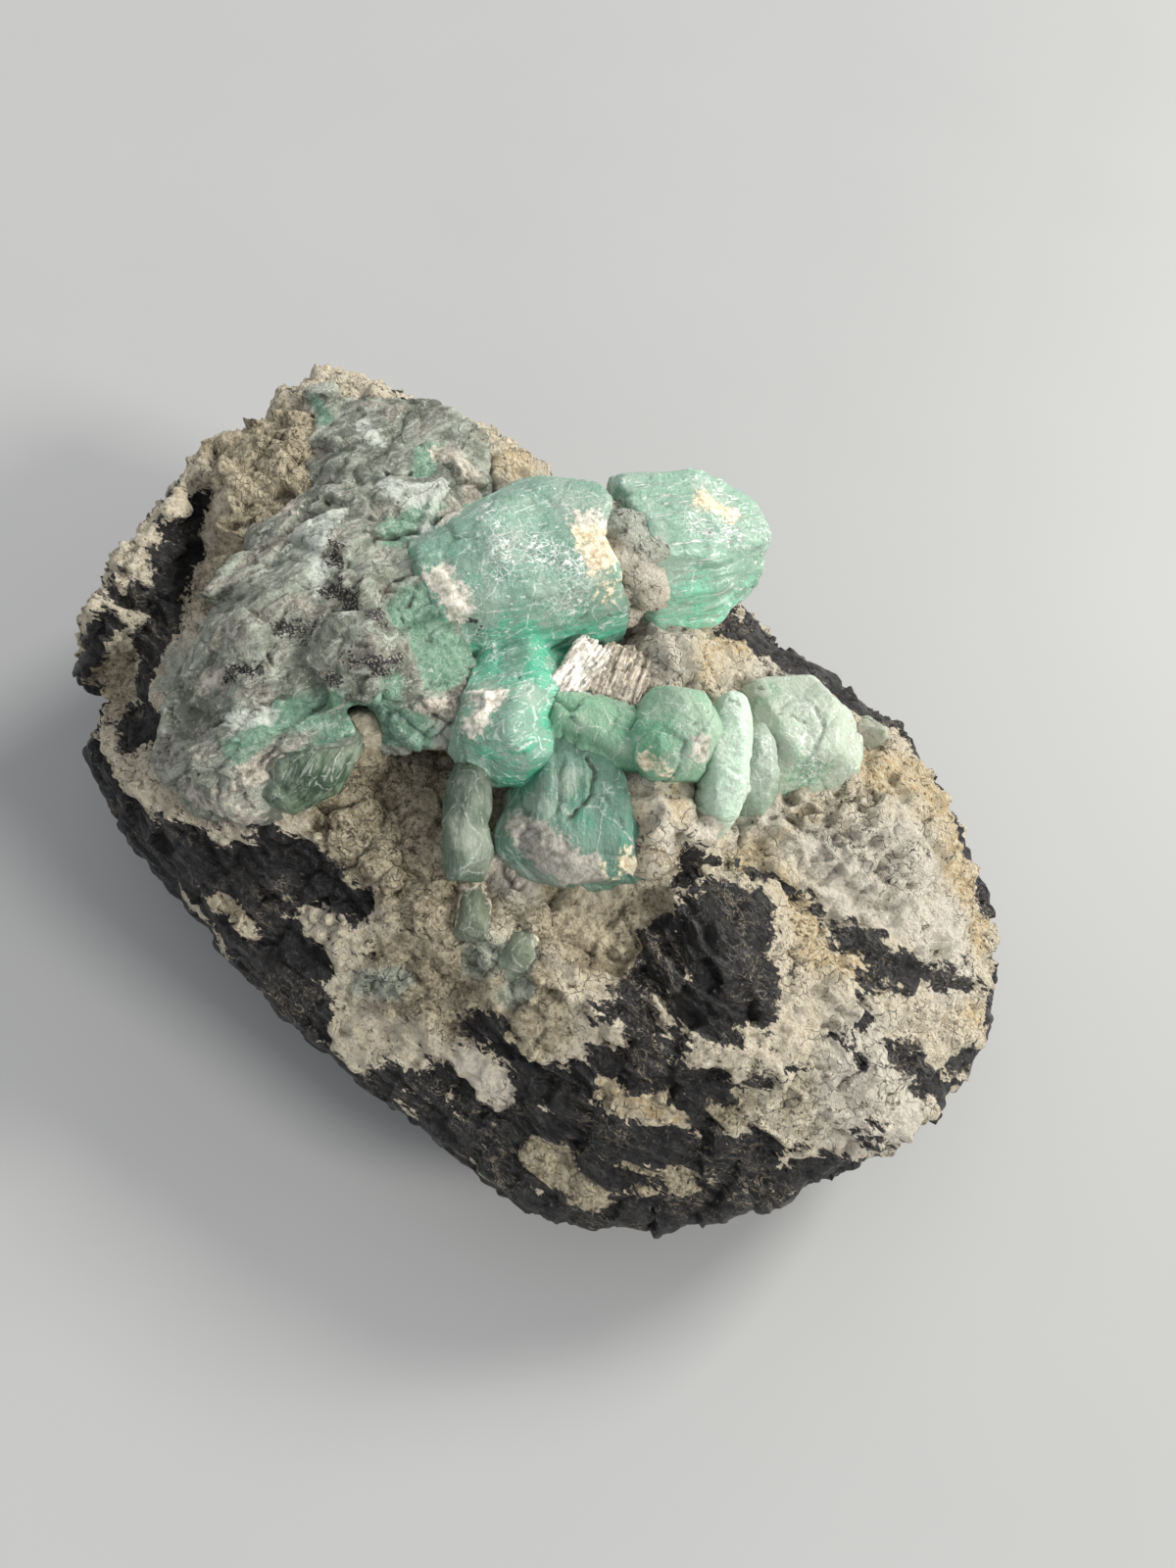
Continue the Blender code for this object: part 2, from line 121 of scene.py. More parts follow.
PALE_BANDS = (
    (3, (-122, -19, 86), (-119, -29, 85), (-119, -37, 84)),
    (3, (-128, 12, 90), (-124, 0, 88), (-122, -12, 87)),
    (3.6, (-110, -46, 76), (-108, -48, 67), (-102, -51, 65)),
    (2, (-104, -60, 57), (-98, -66, 52)),
    (2.4, (-46, -79, 54), (-40, -78, 56), (-34, -79, 55)),
    (1.2, (-60, -80, 42), (-46, -83, 44), (-30, -84, 46)),
    (2.4, (61, -60, 66), (67, -59, 66), (75, -57, 64), (79, -56, 63)),
    (4.5, (31, -73, 57), (37, -73, 56), (41, -74, 54)),
    (5, (57, -79, 48), (64, -79, 47), (72, -79, 46)),
    (3, (84, -64, 49), (91, -64, 46)),
    (3, (94, -43, 63), (102, -41, 59)),
)
TAN = (
    (14, (-33, -41, 77), (-16, -45, 77), (-18, -28, 77)),
    (10, (-20, -53, 76), (-2, -52, 77), (10, -50, 76)),
    (9, (27, -38, 77), (39, -38, 78), (46, -26, 77)),
    (16, (-120, 20, 95), (-105, 12, 97), (-112, 34, 95)),
    (9, (-100, -4, 94), (-104, -14, 88), (-98, -24, 88)),
    (12, (8, -66, 64), (25, -64, 66), (36, -58, 71)),
    (10, (50, -82, 46), (70, -76, 48), (90, -66, 44)),
    (8, (68, -56, 68), (84, -50, 66)),
    (8, (-116, -44, 70), (-106, -52, 62)),
)
OCHRE = (
    (7, (72, 47, 81), (80, 53, 79), (90, 50, 76)),
    (6, (100, 42, 74), (112, 40, 66), (118, 34, 60)),
    (4, (67, 4, 79), (76, 2, 78), (82, -4, 77)),
    (5, (84, -6, 77), (92, -4, 76), (96, 0, 76)),
    (5.5, (24, 0, 92), (30, -3, 92), (36, -8, 92), (41, -10, 88)),
    (4, (57, 6, 78), (60, 15, 80), (66, 22, 81)),
    (4, (15, 46, 91), (19, 52, 86), (24, 54, 84)),
    (5, (-5, 42, 104), (-3, 40, 98), (-2, 40, 90)),
    (4, (19, 44, 92), (19, 37, 96), (21, 30, 95)),
    (3.4, (61, -60, 66), (67, -59, 66), (75, -57, 64), (79, -56, 63)),
    (3, (-12, 42, 112), (-7, 43, 106)),
    (4, (120, 14, 60), (130, 20, 50)),
    (3, (-46, -79, 54), (-38, -78, 56)),
    (5, (-60, 60, 94), (-53, 55, 93)),
    (3, (-33, -40, 92), (-31, -34, 92)),
)
WHITE = (
    (3, (24, 0, 92), (30, -3, 92), (36, -8, 92), (41, -10, 88)),
    (12, (84, 26, 80), (104, 24, 72), (116, 20, 62)),
    (9, (70, 16, 80), (84, 14, 78), (96, 18, 76)),
    (12, (104, -18, 68), (116, -28, 60), (122, -20, 58)),
    (4, (44, -5, 89), (45, 2, 88)),
    (5, (50, 8, 78), (52, 13, 78), (58, 17, 80)),
    (8, (-16, 46, 112), (-8, 45, 108), (-3, 42, 100), (-2, 40, 88)),
    (6, (8, 38, 93), (12, 31, 96), (18, 26, 95)),
    (4, (24, 24, 92), (28, 28, 90)),
    (5, (-62, 62, 84), (-54, 48, 94)),
    (5, (31, -73, 57), (37, -73, 56), (41, -74, 54)),
    (3, (-60, -77, 66), (-40, -72, 70)),
    (3, (7, -36, 79), (12, -38, 78), (20, -38, 77)),
    (4, (28, 45, 88), (34, 59, 82), (48, 70, 76)),
)
GREENISH = (
    (4, (-16, 48, 112), (-9, 46, 108)),
    (4, (-2, -74, 58), (5, -70, 62)),
    (4, (13, -50, 78), (19, -53, 75), (19, -58, 71)),
    (3.5, (29, -52, 77), (33, -55, 73), (31, -58, 70)),
    (4, (-92, -40, 81), (-88, -46, 77)),
)
FACETED = (
    (13, (-33, -41, 77), (-16, -45, 77), (-18, -28, 77)),
    (9, (-20, -53, 76), (-2, -52, 77), (8, -50, 76)),
    (8, (27, -38, 77), (39, -38, 78), (46, -26, 77)),
    (16, (-120, 20, 95), (-105, 12, 97), (-112, 34, 95)),
)
BOXWORK = (
    (9, (70, 30, 80), (80, 22, 80), (92, 26, 78)),
    (7, (60, 24, 80), (76, 40, 80)),
    (6, (100, 10, 72), (110, 18, 68)),
)
MICA_SPOTS = (
    (2.6, (-43, -27, 107), (-40, -24, 108), (-37, -25, 107)),
    (2.4, (-45, -24, 109), (-44, -18, 111), (-47, -15, 110)),
    (2.2, (-55, -26, 108), (-53, -30, 106)),
    (2.2, (-54, -15, 108), (-58, -13, 108), (-61, -16, 108)),
    (2.0, (-66, -46, 100), (-62, -43, 102), (-59, -42, 103)),
    (2.0, (-36, -24, 107), (-35, -21, 107)),
    (2.0, (-64, -8, 108), (-67, -5, 108)),
    (1.8, (-47, -33, 104), (-44, -33, 105)),
    (2.4, (-62, -31, 107), (-59, -28, 107)),
    (1.0, (-30, 3, 104), (-26, 3, 101)),
)
FROST = (
    (6, (-26, 24, 114), (-18, 28, 112), (-14, 20, 108)),
    (4, (-43, 26, 115), (-36, 20, 114), (-30, 14, 112)),
    (5, (0, 60, 114), (8, 66, 110), (10, 70, 106)),
    (4, (-30, 2, 106), (-24, 4, 100)),
    (5, (46, 44, 94), (54, 36, 94), (58, 30, 88)),
    (3, (33, 2, 102), (34, -1, 98)),
    (4, (34, 22, 102), (40, 14, 102), (45, 8, 98)),
    (4, (46, 20, 95), (48, 26, 94)),
    (4, (60, 50, 92), (64, 42, 90)),
    (4, (-72, 20, 110), (-65, 18, 112), (-61, 24, 111)),
    (3, (-81, -5, 105), (-76, 5, 108), (-71, -9, 108)),
    (2.2, (-71, -9, 108), (-66, -13, 108), (-62, -17, 107)),
    (2.2, (-55, 13, 108), (-58, 22, 110), (-61, 29, 110)),
    (3, (-50, -20, 110), (-47, -26, 108), (-40, -20, 108)),
    (3, (-58, -53, 96), (-52, -47, 98)),
    (3, (-96, 38, 100), (-86, 34, 102)),
)
WEATHERED_SKIN = (
    (3.5, (-41, 5, 109), (-37, 3, 108), (-32, 2, 105)),
    (2.0, (-26, -24, 99), (-21, -20, 99), (-18, -14, 101)),
    (2.6, (-16, -14, 101), (-13, -12, 102), (-11, -16, 103), (-12, -20, 102)),
    (4, (-56, 40, 102), (-54, 28, 106), (-50, 20, 108)),
    (5, (-21, 38, 114), (-16, 36, 113), (-12, 32, 108)),
    (3, (-4, 66, 114), (4, 70, 112)),
    (3, (34, 8, 105), (35, 6, 104)),
    (2, (26, -1, 100), (30, 0, 100)),
    (3, (46, 3, 88), (48, 10, 90)),
    (5, (12, -28, 89), (18, -29, 89), (28, -27, 87)),
    (3, (33, -21, 88), (38, -16, 84)),
    (4, (66, 52, 82), (60, 60, 88), (48, 60, 90)),
    (4, (-52, -66, 82), (-60, -68, 80), (-46, -62, 80)),
    (3, (-48, -58, 88), (-44, -56, 92)),
    (3, (-70, 40, 105), (-62, 44, 104)),
    (4, (-88, 2, 102), (-94, 1, 98)),
    (3, (-72, -50, 94), (-68, -47, 98)),
)
CREAM_TINT = (
    (7, (-18, 32, 113), (-12, 38, 112), (-8, 32, 106)),
    (5, (20, -2, 98), (30, 0, 100)),
    (5, (33, -21, 88), (38, -16, 84)),
    (6, (-2, 66, 114), (6, 70, 112)),
)
DEEP_GREEN = (
    (7, (-22, 6, 98), (-12, 12, 97), (-6, 20, 94)),
    (6, (-14, 2, 100), (-6, 6, 94)),
    (5, (-44, -8, 106), (-38, 4, 104), (-40, -2, 102)),
    (6, (-34, -46, 88), (-36, -40, 90)),
    (7, (-2, -4, 97), (4, -12, 96), (0, -22, 92)),
    (6, (8, 50, 100), (10, 44, 92), (14, 56, 96)),
    (4, (54, 26, 88), (58, 30, 86)),
    (5, (24, 2, 102), (26, 0, 98)),
    # This stroke paints deeper green on the front of the wedge of the mass, as shade.
    (4, (-61, 9, 108), (-58, 17, 108), (-56, 22, 107)),
    (5, (18, -20, 92), (26, -20, 91), (30, -18, 90)),
    (3, (36, 40, 84), (40, 34, 86)),
    (6, (-42, -3, 104), (-35, -7, 102), (-28, -12, 101), (-28, 0, 95)),
    (4, (-40, -28, 101), (-36, -30, 98), (-32, -24, 103)),
    (3, (-41, -36, 102), (-46, -38, 98), (-50, -44, 99)),
    (3.5, (-53, -58, 95), (-50, -50, 98), (-44, -42, 99), (-40, -41, 99)),
    (9, (-36, -52, 87), (-34, -46, 88), (-37, -40, 90), (-38, -36, 92)),
    (4, (-69, 31, 107), (-73, 39, 106)),
    (3, (-114, 38, 98), (-108, 35, 98)),
    (6, (-25, -28, 94), (-35, -30, 92)),
)

# Listed bars and lumps (a height above 0) and cracks cut in (below 0): height, half width, way.
SCULPT = {
    "matrix": (
        (1.6, 4.0, (-16, 46, 112), (-8, 46, 108), (-3, 42, 100)),
        (2.6, 4.0, (16, 36, 97), (20, 33, 96)),
        (2.2, 3.2, (12, 31, 96), (18, 26, 95)),
        (2.2, 3.6, (19, 46, 91), (20, 50, 87)),
        (3.0, 6.0, (30, -3, 93), (36, -9, 91), (40, -12, 87)),
        (2.4, 3.4, (44, -7, 89), (45, 1, 88)),
        (-2.2, 1.1, (49, -3, 83), (50, -12, 79)),
        (-1.6, 1.2, (8, -36, 77), (16, -39, 77), (24, -33, 77)),
    ),
    "beryl_mass": (
        (1.3, 2.2, (-55, 13, 108), (-58, 22, 110), (-61, 30, 110)),
        (-1.6, 1.3, (-82, 7, 105), (-74, 5, 107), (-66, 3, 108), (-60, 9, 108), (-57, 13, 108)),
        (-1.5, 1.0, (-52, -41, 101), (-60, -37, 106), (-63, -31, 107), (-65, -23, 108)),
        (-1.3, 1.0, (-65, -57, 91), (-59, -54, 96), (-54, -49, 99), (-51, -42, 100), (-46, -38, 99)),
        (-1.2, 0.9, (-62, -16, 107), (-53, -13, 106), (-50, -4, 105)),
        (-1.2, 0.9, (-46, 0, 105), (-43, -10, 104), (-35, -20, 104)),
        (-0.9, 0.8, (-95, 30, 101), (-84, 24, 103), (-74, 26, 107), (-66, 32, 107)),
        (-0.8, 0.8, (-84, -18, 101), (-74, -24, 104), (-68, -34, 103)),
        (0.9, 1.8, (-26, -24, 99), (-20, -19, 99)),
    ),
    "central_crystal": (
        (1.0, 2.6, (-41, 5, 109), (-37, 3, 108), (-33, 2, 106)),
        (1.3, 2.0, (-19, -14, 100), (-14, -12, 101), (-11, -16, 102), (-12, -20, 102)),
        (-0.8, 0.7, (-30, 34, 114), (-22, 38, 113)),
        (-0.7, 0.7, (-12, 26, 106), (-13, 22, 100), (-10, 21, 95)),
        (-0.6, 0.6, (-16, -2, 102), (-8, -6, 102), (0, -4, 99)),
        (-0.7, 0.6, (-2, -12, 102), (2, -18, 98), (0, -24, 93)),
    ),
    "striated_crystal": (
        (-1.0, 0.8, (-29, 62, 116), (-22, 58, 116), (-16, 54, 112)),
        (-0.8, 0.8, (-24, 68, 116), (-17, 62, 116), (-12, 55, 114)),
    ),
    "wide_crystal": (
        (-1.5, 0.8, (13, -6, 94), (17, -9, 94), (19, -14, 94), (19, -20, 93), (18, -24, 92)),
        (-1.0, 0.8, (18, -24, 92), (13, -26, 91), (5, -22, 87)),
        (-0.6, 0.7, (24, -2, 93), (25, -10, 93), (34, -14, 90)),
    ),
    "knob_crystal": (
        (-1.0, 0.8, (17, -2, 100), (19, 4, 103), (18, 10, 102)),
        (-1.6, 0.8, (34, 8, 105), (34.5, 7, 104)),
        (-0.7, 0.7, (30, 14, 107), (29, 7, 107), (31, 0, 103)),
    ),
    "pale_crystal": (
        (-0.8, 0.6, (34, 44, 88), (40, 44, 92), (44, 38, 94), (44, 32, 92)),
        (-0.7, 0.5, (44, 38, 94), (52, 38, 94), (62, 42, 90)),
        (0.9, 3.0, (54, 50, 94), (62, 50, 90)),
    ),
    "scaly_crystal": (
        (-0.7, 0.7, (34, 24, 101), (40, 18, 102), (45, 10, 98)),
    ),
}

# Listed pushes. Each is a place, how far round it the push is felt, and the push itself.
PUSHES = {
    "matrix": (
        ((-121, 42, 92), 28, (5.0, -6.0, -4.5)),
        ((-121, -42, 76), 20, (6.0, 2.4, 0.0)),
        ((-110, -52, 61), 12, (-4.5, -3.5, -1.0)),
        ((-14, 44, 106), 10, (0.5, 0.8, 3.2)),
        ((14, 34, 96), 10, (0.0, 0.0, 2.0)),
    ),
    "beryl_mass": (
        ((-40, 4, 102), 12, (1.8, 0.6, 0.0)),
    ),
    "central_crystal": (
        ((-42, 38, 112), 18, (-3.5, 5.5, -0.5)),
        ((-26, 48, 112), 14, (4.0, 4.5, 1.0)),
        ((-8, 28, 98), 14, (2.4, 2.4, 0.0)),
        ((-46, 6, 104), 12, (-2.2, -0.6, 0.0)),
        ((-8, 4, 98), 12, (2.5, 0.5, 0.0)),
        ((-24, 2, 100), 10, (0.5, -2.0, 0.0)),
    ),
    "striated_crystal": (
        ((-24, 54, 110), 16, (-3.4, -3.6, 0.5)),
        ((-4, 44, 96), 12, (-2.4, -2.2, 0.0)),
        ((10, 74, 106), 14, (1.2, 2.6, 0.6)),
        ((-12, 84, 112), 14, (-0.4, 2.4, 0.6)),
    ),
    "knob_crystal": (
        ((8, -3, 96), 12, (-1.0, 0.4, 0.8)),
        ((28, 12, 106), 12, (1.0, 0.8, 0.8)),
    ),
    "wide_crystal": (
        ((10, -30, 86), 11, (-2.4, -1.6, 0.0)),
        ((37, -17, 86), 11, (2.2, -0.6, 0.0)),
        ((24, -30, 86), 10, (0.6, -2.6, 0.0)),
        ((34, -4, 90), 10, (-1.0, -1.5, 0.0)),
    ),
    "scaly_crystal": (
        ((36, 27, 100), 13, (-1.8, 4.4, 0.6)),
        ((36, 12, 98), 10, (-1.4, 0.0, 0.0)),
    ),
    "scalloped_crystal": (
        ((46, 32, 94), 10, (-0.6, 2.0, 0.4)),
    ),
}

# The masks that the rock and the crystals carry for their materials.
ROCK_PATCHES = {"tan": TAN, "ochre": OCHRE, "white": WHITE, "green": GREENISH}
CRYSTAL_PATCHES = {
    "skin": WEATHERED_SKIN, "cream": CREAM_TINT, "deep": DEEP_GREEN, "frost": FROST, "mica": MICA_SPOTS}

# The shape of each crystal: the way it grew, voxel in mm, triangles, how often it is smoothed, how high
# its grooves are, how broken it is, how far it swells in mm, and how many flat faces are cut.
CRYSTALS = {
    "central_crystal": ((24, 39, 3), 0.55, 84000, 8, 0.34, 0.8, 0.3, 150),
    "striated_crystal": ((21, 26, 1), 0.55, 72000, 8, 0.70, 0.6, 0.3, 90),
    "knob_crystal": ((2, 4, 24), 0.45, 60000, 12, 0.2, 0.6, 0.9, 110),
    "wide_crystal": ((25, -33, -4), 0.5, 64000, 9, 0.20, 1.0, 0.5, 110),
    "rod_crystal": ((16, -23, -14), 0.4, 36000, 8, 0.35, 1.6, 0.8, 70),
    "scaly_crystal": ((6, -10, 20), 0.4, 44000, 9, 0.25, 0.8, 1.3, 120),
    "scalloped_crystal": ((5, -8, 16), 0.4, 40000, 9, 0.2, 0.8, 1.1, 100),
    "pale_crystal": ((19, -20, 12), 0.5, 60000, 8, 0.15, 0.6, 0.5, 160),
    "corner_crystal": ((4, -11, 12), 0.4, 16000, 14, 0.30, 0.8, 0.4, 30),
    "tooth_crystal": ((3, -23, -8), 0.4, 30000, 8, 0.15, 0.8, 0.4, 60),
    "small_crystal_left": ((8, -14, 6), 0.4, 20000, 10, 0.2, 0.7, 0.5, 40),
    "small_crystal_right": ((6, -12, 8), 0.4, 20000, 10, 0.2, 0.7, 0.5, 40),
}

# The look of each crystal: slot, pale, deep and milky green, how frosty it is, and how strongly lined.
LOOKS = {
    "central_crystal": ("deep_beryl", (0.19, 0.34, 0.26), (0.07, 0.42, 0.265), (0.38, 0.55, 0.45), 1.0, 0.6),
    "striated_crystal": ("pale_beryl", (0.24, 0.41, 0.31), (0.20, 0.56, 0.385), (0.46, 0.64, 0.53), 0.9, 1.3),
    "knob_crystal": ("pale_beryl", (0.21, 0.39, 0.26), (0.10, 0.33, 0.185), (0.40, 0.55, 0.43), 0.6, 0.3),
    "wide_crystal": ("pale_beryl", (0.11, 0.215, 0.16), (0.05, 0.21, 0.145), (0.24, 0.32, 0.25), 0.2, 0.2),
    "rod_crystal": ("pale_beryl", (0.085, 0.125, 0.085), (0.06, 0.12, 0.075), (0.17, 0.21, 0.165), 0.1, 0.4),
    "scaly_crystal": ("pale_beryl", (0.50, 0.66, 0.53), (0.30, 0.52, 0.37), (0.68, 0.79, 0.69), 0.9, 0.2),
    "scalloped_crystal": ("pale_beryl", (0.28, 0.38, 0.30), (0.22, 0.37, 0.29), (0.54, 0.63, 0.55), 0.8, 0.2),
    "pale_crystal": ("pale_beryl", (0.42, 0.50, 0.40), (0.17, 0.38, 0.225), (0.64, 0.69, 0.61), 0.9, 0.2),
    "corner_crystal": (
        "weathered_beryl", (0.34, 0.36, 0.28), (0.22, 0.26, 0.20), (0.50, 0.51, 0.44), 0.3, 0.3),
    "tooth_crystal": ("deep_beryl", (0.13, 0.195, 0.125), (0.015, 0.05, 0.02), (0.26, 0.32, 0.23), 0.2, 0.5),
    "small_crystal_left": (
        "weathered_beryl", (0.11, 0.135, 0.09), (0.075, 0.11, 0.07), (0.22, 0.245, 0.19), 0.1, 0.3),
    "small_crystal_right": (
        "weathered_beryl", (0.12, 0.15, 0.10), (0.075, 0.12, 0.075), (0.24, 0.265, 0.205), 0.1, 0.3),
}

# The mica books: finish, the way their sheets run, seed, and the dark and the light tone.
MICA_BOOKS = {
    "mica_book_light": ("silvery_mica", (2, -23, 4), 901, (0.34, 0.31, 0.27), (0.86, 0.83, 0.76)),
    "mica_book_dark": ("brown_mica", (6, -19, 4), 917, (0.17, 0.145, 0.115), (0.56, 0.50, 0.41)),
}

# Colours. A pair is the dark and the light tone of one surface.
BUFF_CRUST = (0.70, 0.60, 0.43), (0.98, 0.90, 0.72)
TAN_CRUST = (0.30, 0.25, 0.155), (0.76, 0.67, 0.48)
OCHRE_CRUST = (0.74, 0.53, 0.26), (0.97, 0.86, 0.61)
WHITE_CRUST = (0.80, 0.73, 0.60), (0.99, 0.95, 0.84)
GREENISH_CRUST = (0.34, 0.42, 0.34), (0.60, 0.68, 0.58)
BLACK_SCHIST = (0.005, 0.005, 0.006), (0.026, 0.026, 0.028)
DUSTY_SKIN = (0.50, 0.46, 0.38), (0.92, 0.87, 0.78)
CREAMY_SKIN = (0.66, 0.50, 0.28), (0.97, 0.88, 0.66)
BERYL_DIRT = (0.50, 0.42, 0.29), (0.86, 0.79, 0.66)
MASS_GREY_GREEN = (0.15, 0.165, 0.13), (0.40, 0.44, 0.37)
MASS_GREEN = (0.11, 0.27, 0.18), (0.26, 0.45, 0.33)
MASS_GREY = (0.07, 0.06, 0.045), (0.42, 0.385, 0.33)
MASS_SKIN = (0.33, 0.29, 0.23), (0.72, 0.67, 0.58)
MASS_DIRT = (0.38, 0.32, 0.24), (0.76, 0.70, 0.60)
MICA_GLINT = (0.025, 0.025, 0.03), (0.42, 0.39, 0.32)
# Painted shade for the crust's hollows and the places where its relief sinks.
HOLLOW_SHADE_BROWN = (0.20, 0.15, 0.085)
# Painted shade for the crust's pits and the gaps between its grains.
PIT_SHADE_BROWN = (0.085, 0.065, 0.04)
GRAIN_WHITE = (0.98, 0.95, 0.87)
SPOT_BLACK = (0.05, 0.042, 0.035)
CRACK_BLACK = (0.03, 0.025, 0.02)
# Painted sheen on the schist.
SHEEN_GREY = (0.12, 0.12, 0.125)
SCRATCH_GREY = (0.40, 0.40, 0.39)
VEIN_TAN = (0.50, 0.42, 0.30)
BLOOM_WHITE = (0.90, 0.97, 0.92)
ASH_GREY = (0.48, 0.50, 0.44)
MICA_BLACK = (0.05, 0.05, 0.055)
DOT_GREEN = (0.08, 0.10, 0.08)
# Cracks, and painted shade where one crystal meets another.
CRACK_AND_CONTACT_SHADE_GREEN = (0.10, 0.13, 0.10)
MASS_STREAK = (0.66, 0.69, 0.62)
MASS_FROST = (0.68, 0.73, 0.67)
MASS_DUST = (0.74, 0.78, 0.71)
MASS_CRACKLE = (0.07, 0.07, 0.055)
MASS_DOT = (0.10, 0.10, 0.08)
# Cracks in the mass, and painted shade where it meets a crystal.
MASS_CRACK_AND_CONTACT_SHADE = (0.07, 0.075, 0.055)
FLOOR_GREY = (0.350, 0.360, 0.367), (0.373, 0.384, 0.391)

# Patches of the crust: how far the broad and the fine noise move the edge, where the edge starts and
# ends, the strength, the range of the mottle, and the tones.
CRUST_LAYERS = {
    "tan": (16, 8, (-2.5, 3.0), 0.9, (0.36, 0.62), TAN_CRUST),
    "ochre": (14, 8, (-2.5, 3.5), 0.95, (0.35, 0.62), OCHRE_CRUST),
    "white": (12, 8, (-3, 4), 0.8, (0.3, 0.6), WHITE_CRUST),
    "green": (10, 6, (-1.5, 2), 0.8, (0.35, 0.6), GREENISH_CRUST),
}

# The stage, in metres and watts: place, size, energy and colour of each lamp.
FLOOR_SIZE = 8
LIGHT_AIM = (0, 0, 0.05)
LAMPS = {
    "window": ((3.2, 10.4, 8.4), (3.6, 3.2), 1680, (1.0, 0.96, 0.89)),
    "side_window": ((11.2, 1.6, 7.2), (3.6, 3.2), 1380, (1.0, 0.95, 0.87)),
}
DAYLIGHT_COLOUR, DAYLIGHT_STRENGTH = (0.98, 0.985, 1.0, 1.0), 0.68


# ---------- relief ----------

def scatter(cell, seed):
    """A repeatable random value from 0 to 1 for each whole-numbered cell."""
    mixed = (cell[:, 0] * 73856093) ^ (cell[:, 1] * 19349663) ^ (cell[:, 2] * 83492791) ^ (seed * 2654435761)
    mixed = (mixed ^ (mixed >> 13)) * 1274126177
    return ((mixed ^ (mixed >> 16)) & 0xFFFFFF) / float(0xFFFFFF)


def grain(points, size, seed):
    """Smooth lumps of one size, from -1 to 1."""
    place = points / size
    low = np.floor(place).astype(np.int64)
    part = place - low
    fade = part * part * (3 - 2 * part)
    total = np.zeros(len(points))
    for corner in itertools.product((0, 1), repeat=3):
        weight = np.ones(len(points))
        for axis, side in enumerate(corner):
            weight *= fade[:, axis] if side else 1 - fade[:, axis]
        total += weight * scatter(low + np.array(corner), seed)
    return total * 2 - 1


def grains(points, size, layers, seed):
    """Lumps on lumps, each layer half the size and half the height of the one before."""
    total, height = np.zeros(len(points)), 1.0
    for layer in range(layers):
        total += height * grain(points, size, seed + layer)
        size, height = size / 2, height / 2
    return total


def cells(points, size, seed):
    """Distance to the nearest and the next seed point, the way to the nearest, and its cell."""
    place = points / size
    start = np.floor(place - 0.5).astype(np.int64)
    nearest = np.full(len(points), 9.0)
    second = np.full(len(points), 9.0)
    way = np.zeros((len(points), 3))
    home = np.zeros((len(points), 3), np.int64)
    for corner in itertools.product((0, 1), repeat=3):
        cell = start + np.array(corner)
        centre = [cell[:, axis] + 0.2 + 0.6 * scatter(cell, seed + 31 * axis) for axis in range(3)]
        offset = place - np.stack(centre, 1)
        distance = np.sqrt((offset ** 2).sum(1))
        closer = distance < nearest
        second = np.where(closer, nearest, np.minimum(second, distance))
        nearest = np.where(closer, distance, nearest)
        way[closer] = offset[closer]
        home[closer] = cell[closer]
    return nearest, second, way * size, home


def jostled(points, amount, size, seed):
    """The points moved about by lumps of one size, each of the three ways by its own."""
    return points + amount * np.stack([grain(points, size, seed + way) for way in range(3)], 1)


def chips(points, size, tilt, seed):
    """Broken facets: each cell is a small plane tilted its own way. In mm for points in mm."""
    _, _, way, home = cells(jostled(points, 0.25 * size, size, seed + 7), size, seed)
    lean = np.stack([scatter(home, seed + 101 + axis) * 2 - 1 for axis in range(3)], 1)
    return tilt * (way * lean).sum(1)


def fractured(points, size, tilt, rise, groove, seed, axis=None, length=1.0):
    """Blocks parted by cracks. Each stands a little higher or lower, and leans its own way."""
    bent = jostled(points, 0.22 * size, size * 0.8, seed + 7)
    if axis is not None:
        bent = stretched(bent, axis, length)
    nearest, second, way, home = cells(bent, size, seed)
    lean = np.stack([scatter(home, seed + 101 + turn) * 2 - 1 for turn in range(3)], 1)
    height = tilt * (way * lean).sum(1) + rise * (scatter(home, seed + 131) * 2 - 1)
    return height - groove * (1 - step_up(second - nearest, 0.0, 0.16))


def faceted(points, normals, count, width, depth, seed):
    """Flat broken faces, each cut a little way in round one point of the surface."""
    draw = np.random.default_rng(seed)
    cut = points.copy()
    for index in draw.integers(0, len(points), count):
        lean = normals[index] + 0.16 * draw.normal(size=3)
        lean /= np.sqrt(lean @ lean)
        away = cut - points[index]
        over = away @ lean + depth * draw.uniform(0.3, 1.0)
        gap = np.sqrt((away ** 2).sum(1))
        facing = (gap < width) & (normals @ lean > -0.3)
        rim = facing & (gap > 0.8 * width)
        if rim.any() and over[rim].max() > 0.35 * depth:
            continue
        sunk = facing & (over > 0)
        cut[sunk] -= np.minimum(over[sunk], 2 * depth)[:, None] * lean
    return cut


def crooked(points):
    """The points moved a little, so that what the listed strokes draw comes out crooked."""
    return points + 0.8 * np.stack([grains(points, 3.4, 3, 811 + 9 * way) for way in range(3)], 1)


def sculpted(points, node):
    """The height of the listed bars, lumps and cracks of a node."""
    bent = crooked(points)
    height = np.zeros(len(points))
    for rise, width, *path in SCULPT.get(node, ()):
        height += rise * step_up(reach(bent, ((width, *path),)), 0, width)
    return height


def crack_mask(points, node):
    """How far inside a sculpted crack each point lies, in mm."""
    cuts = tuple((0.45 * width, *path) for rise, width, *path in SCULPT.get(node, ()) if rise < 0)
    return reach(crooked(points), cuts)


def unit(axis):
    return np.array(Vector(axis).normalized())


def one_long(ways):
    """The ways, each with a length of one."""
    return ways / (np.sqrt((ways ** 2).sum(1)) + TINY)[:, None]


def ledges(points, layer, step, seed):
    """Broken edges of thin layers, from 0 to 1 across each layer."""
    height = points @ unit(layer) / step
    height += 0.8 * grains(points, step * 5, 3, seed)
    part = height - np.floor(height)
    return np.minimum(part / 0.82, (1 - part) / 0.18)


def stretched(points, axis, length):
    """The points with distances along one axis made shorter, so that lumps come out long."""
    along = unit(axis)
    return points - np.outer(points @ along, along) * (1 - 1 / length)


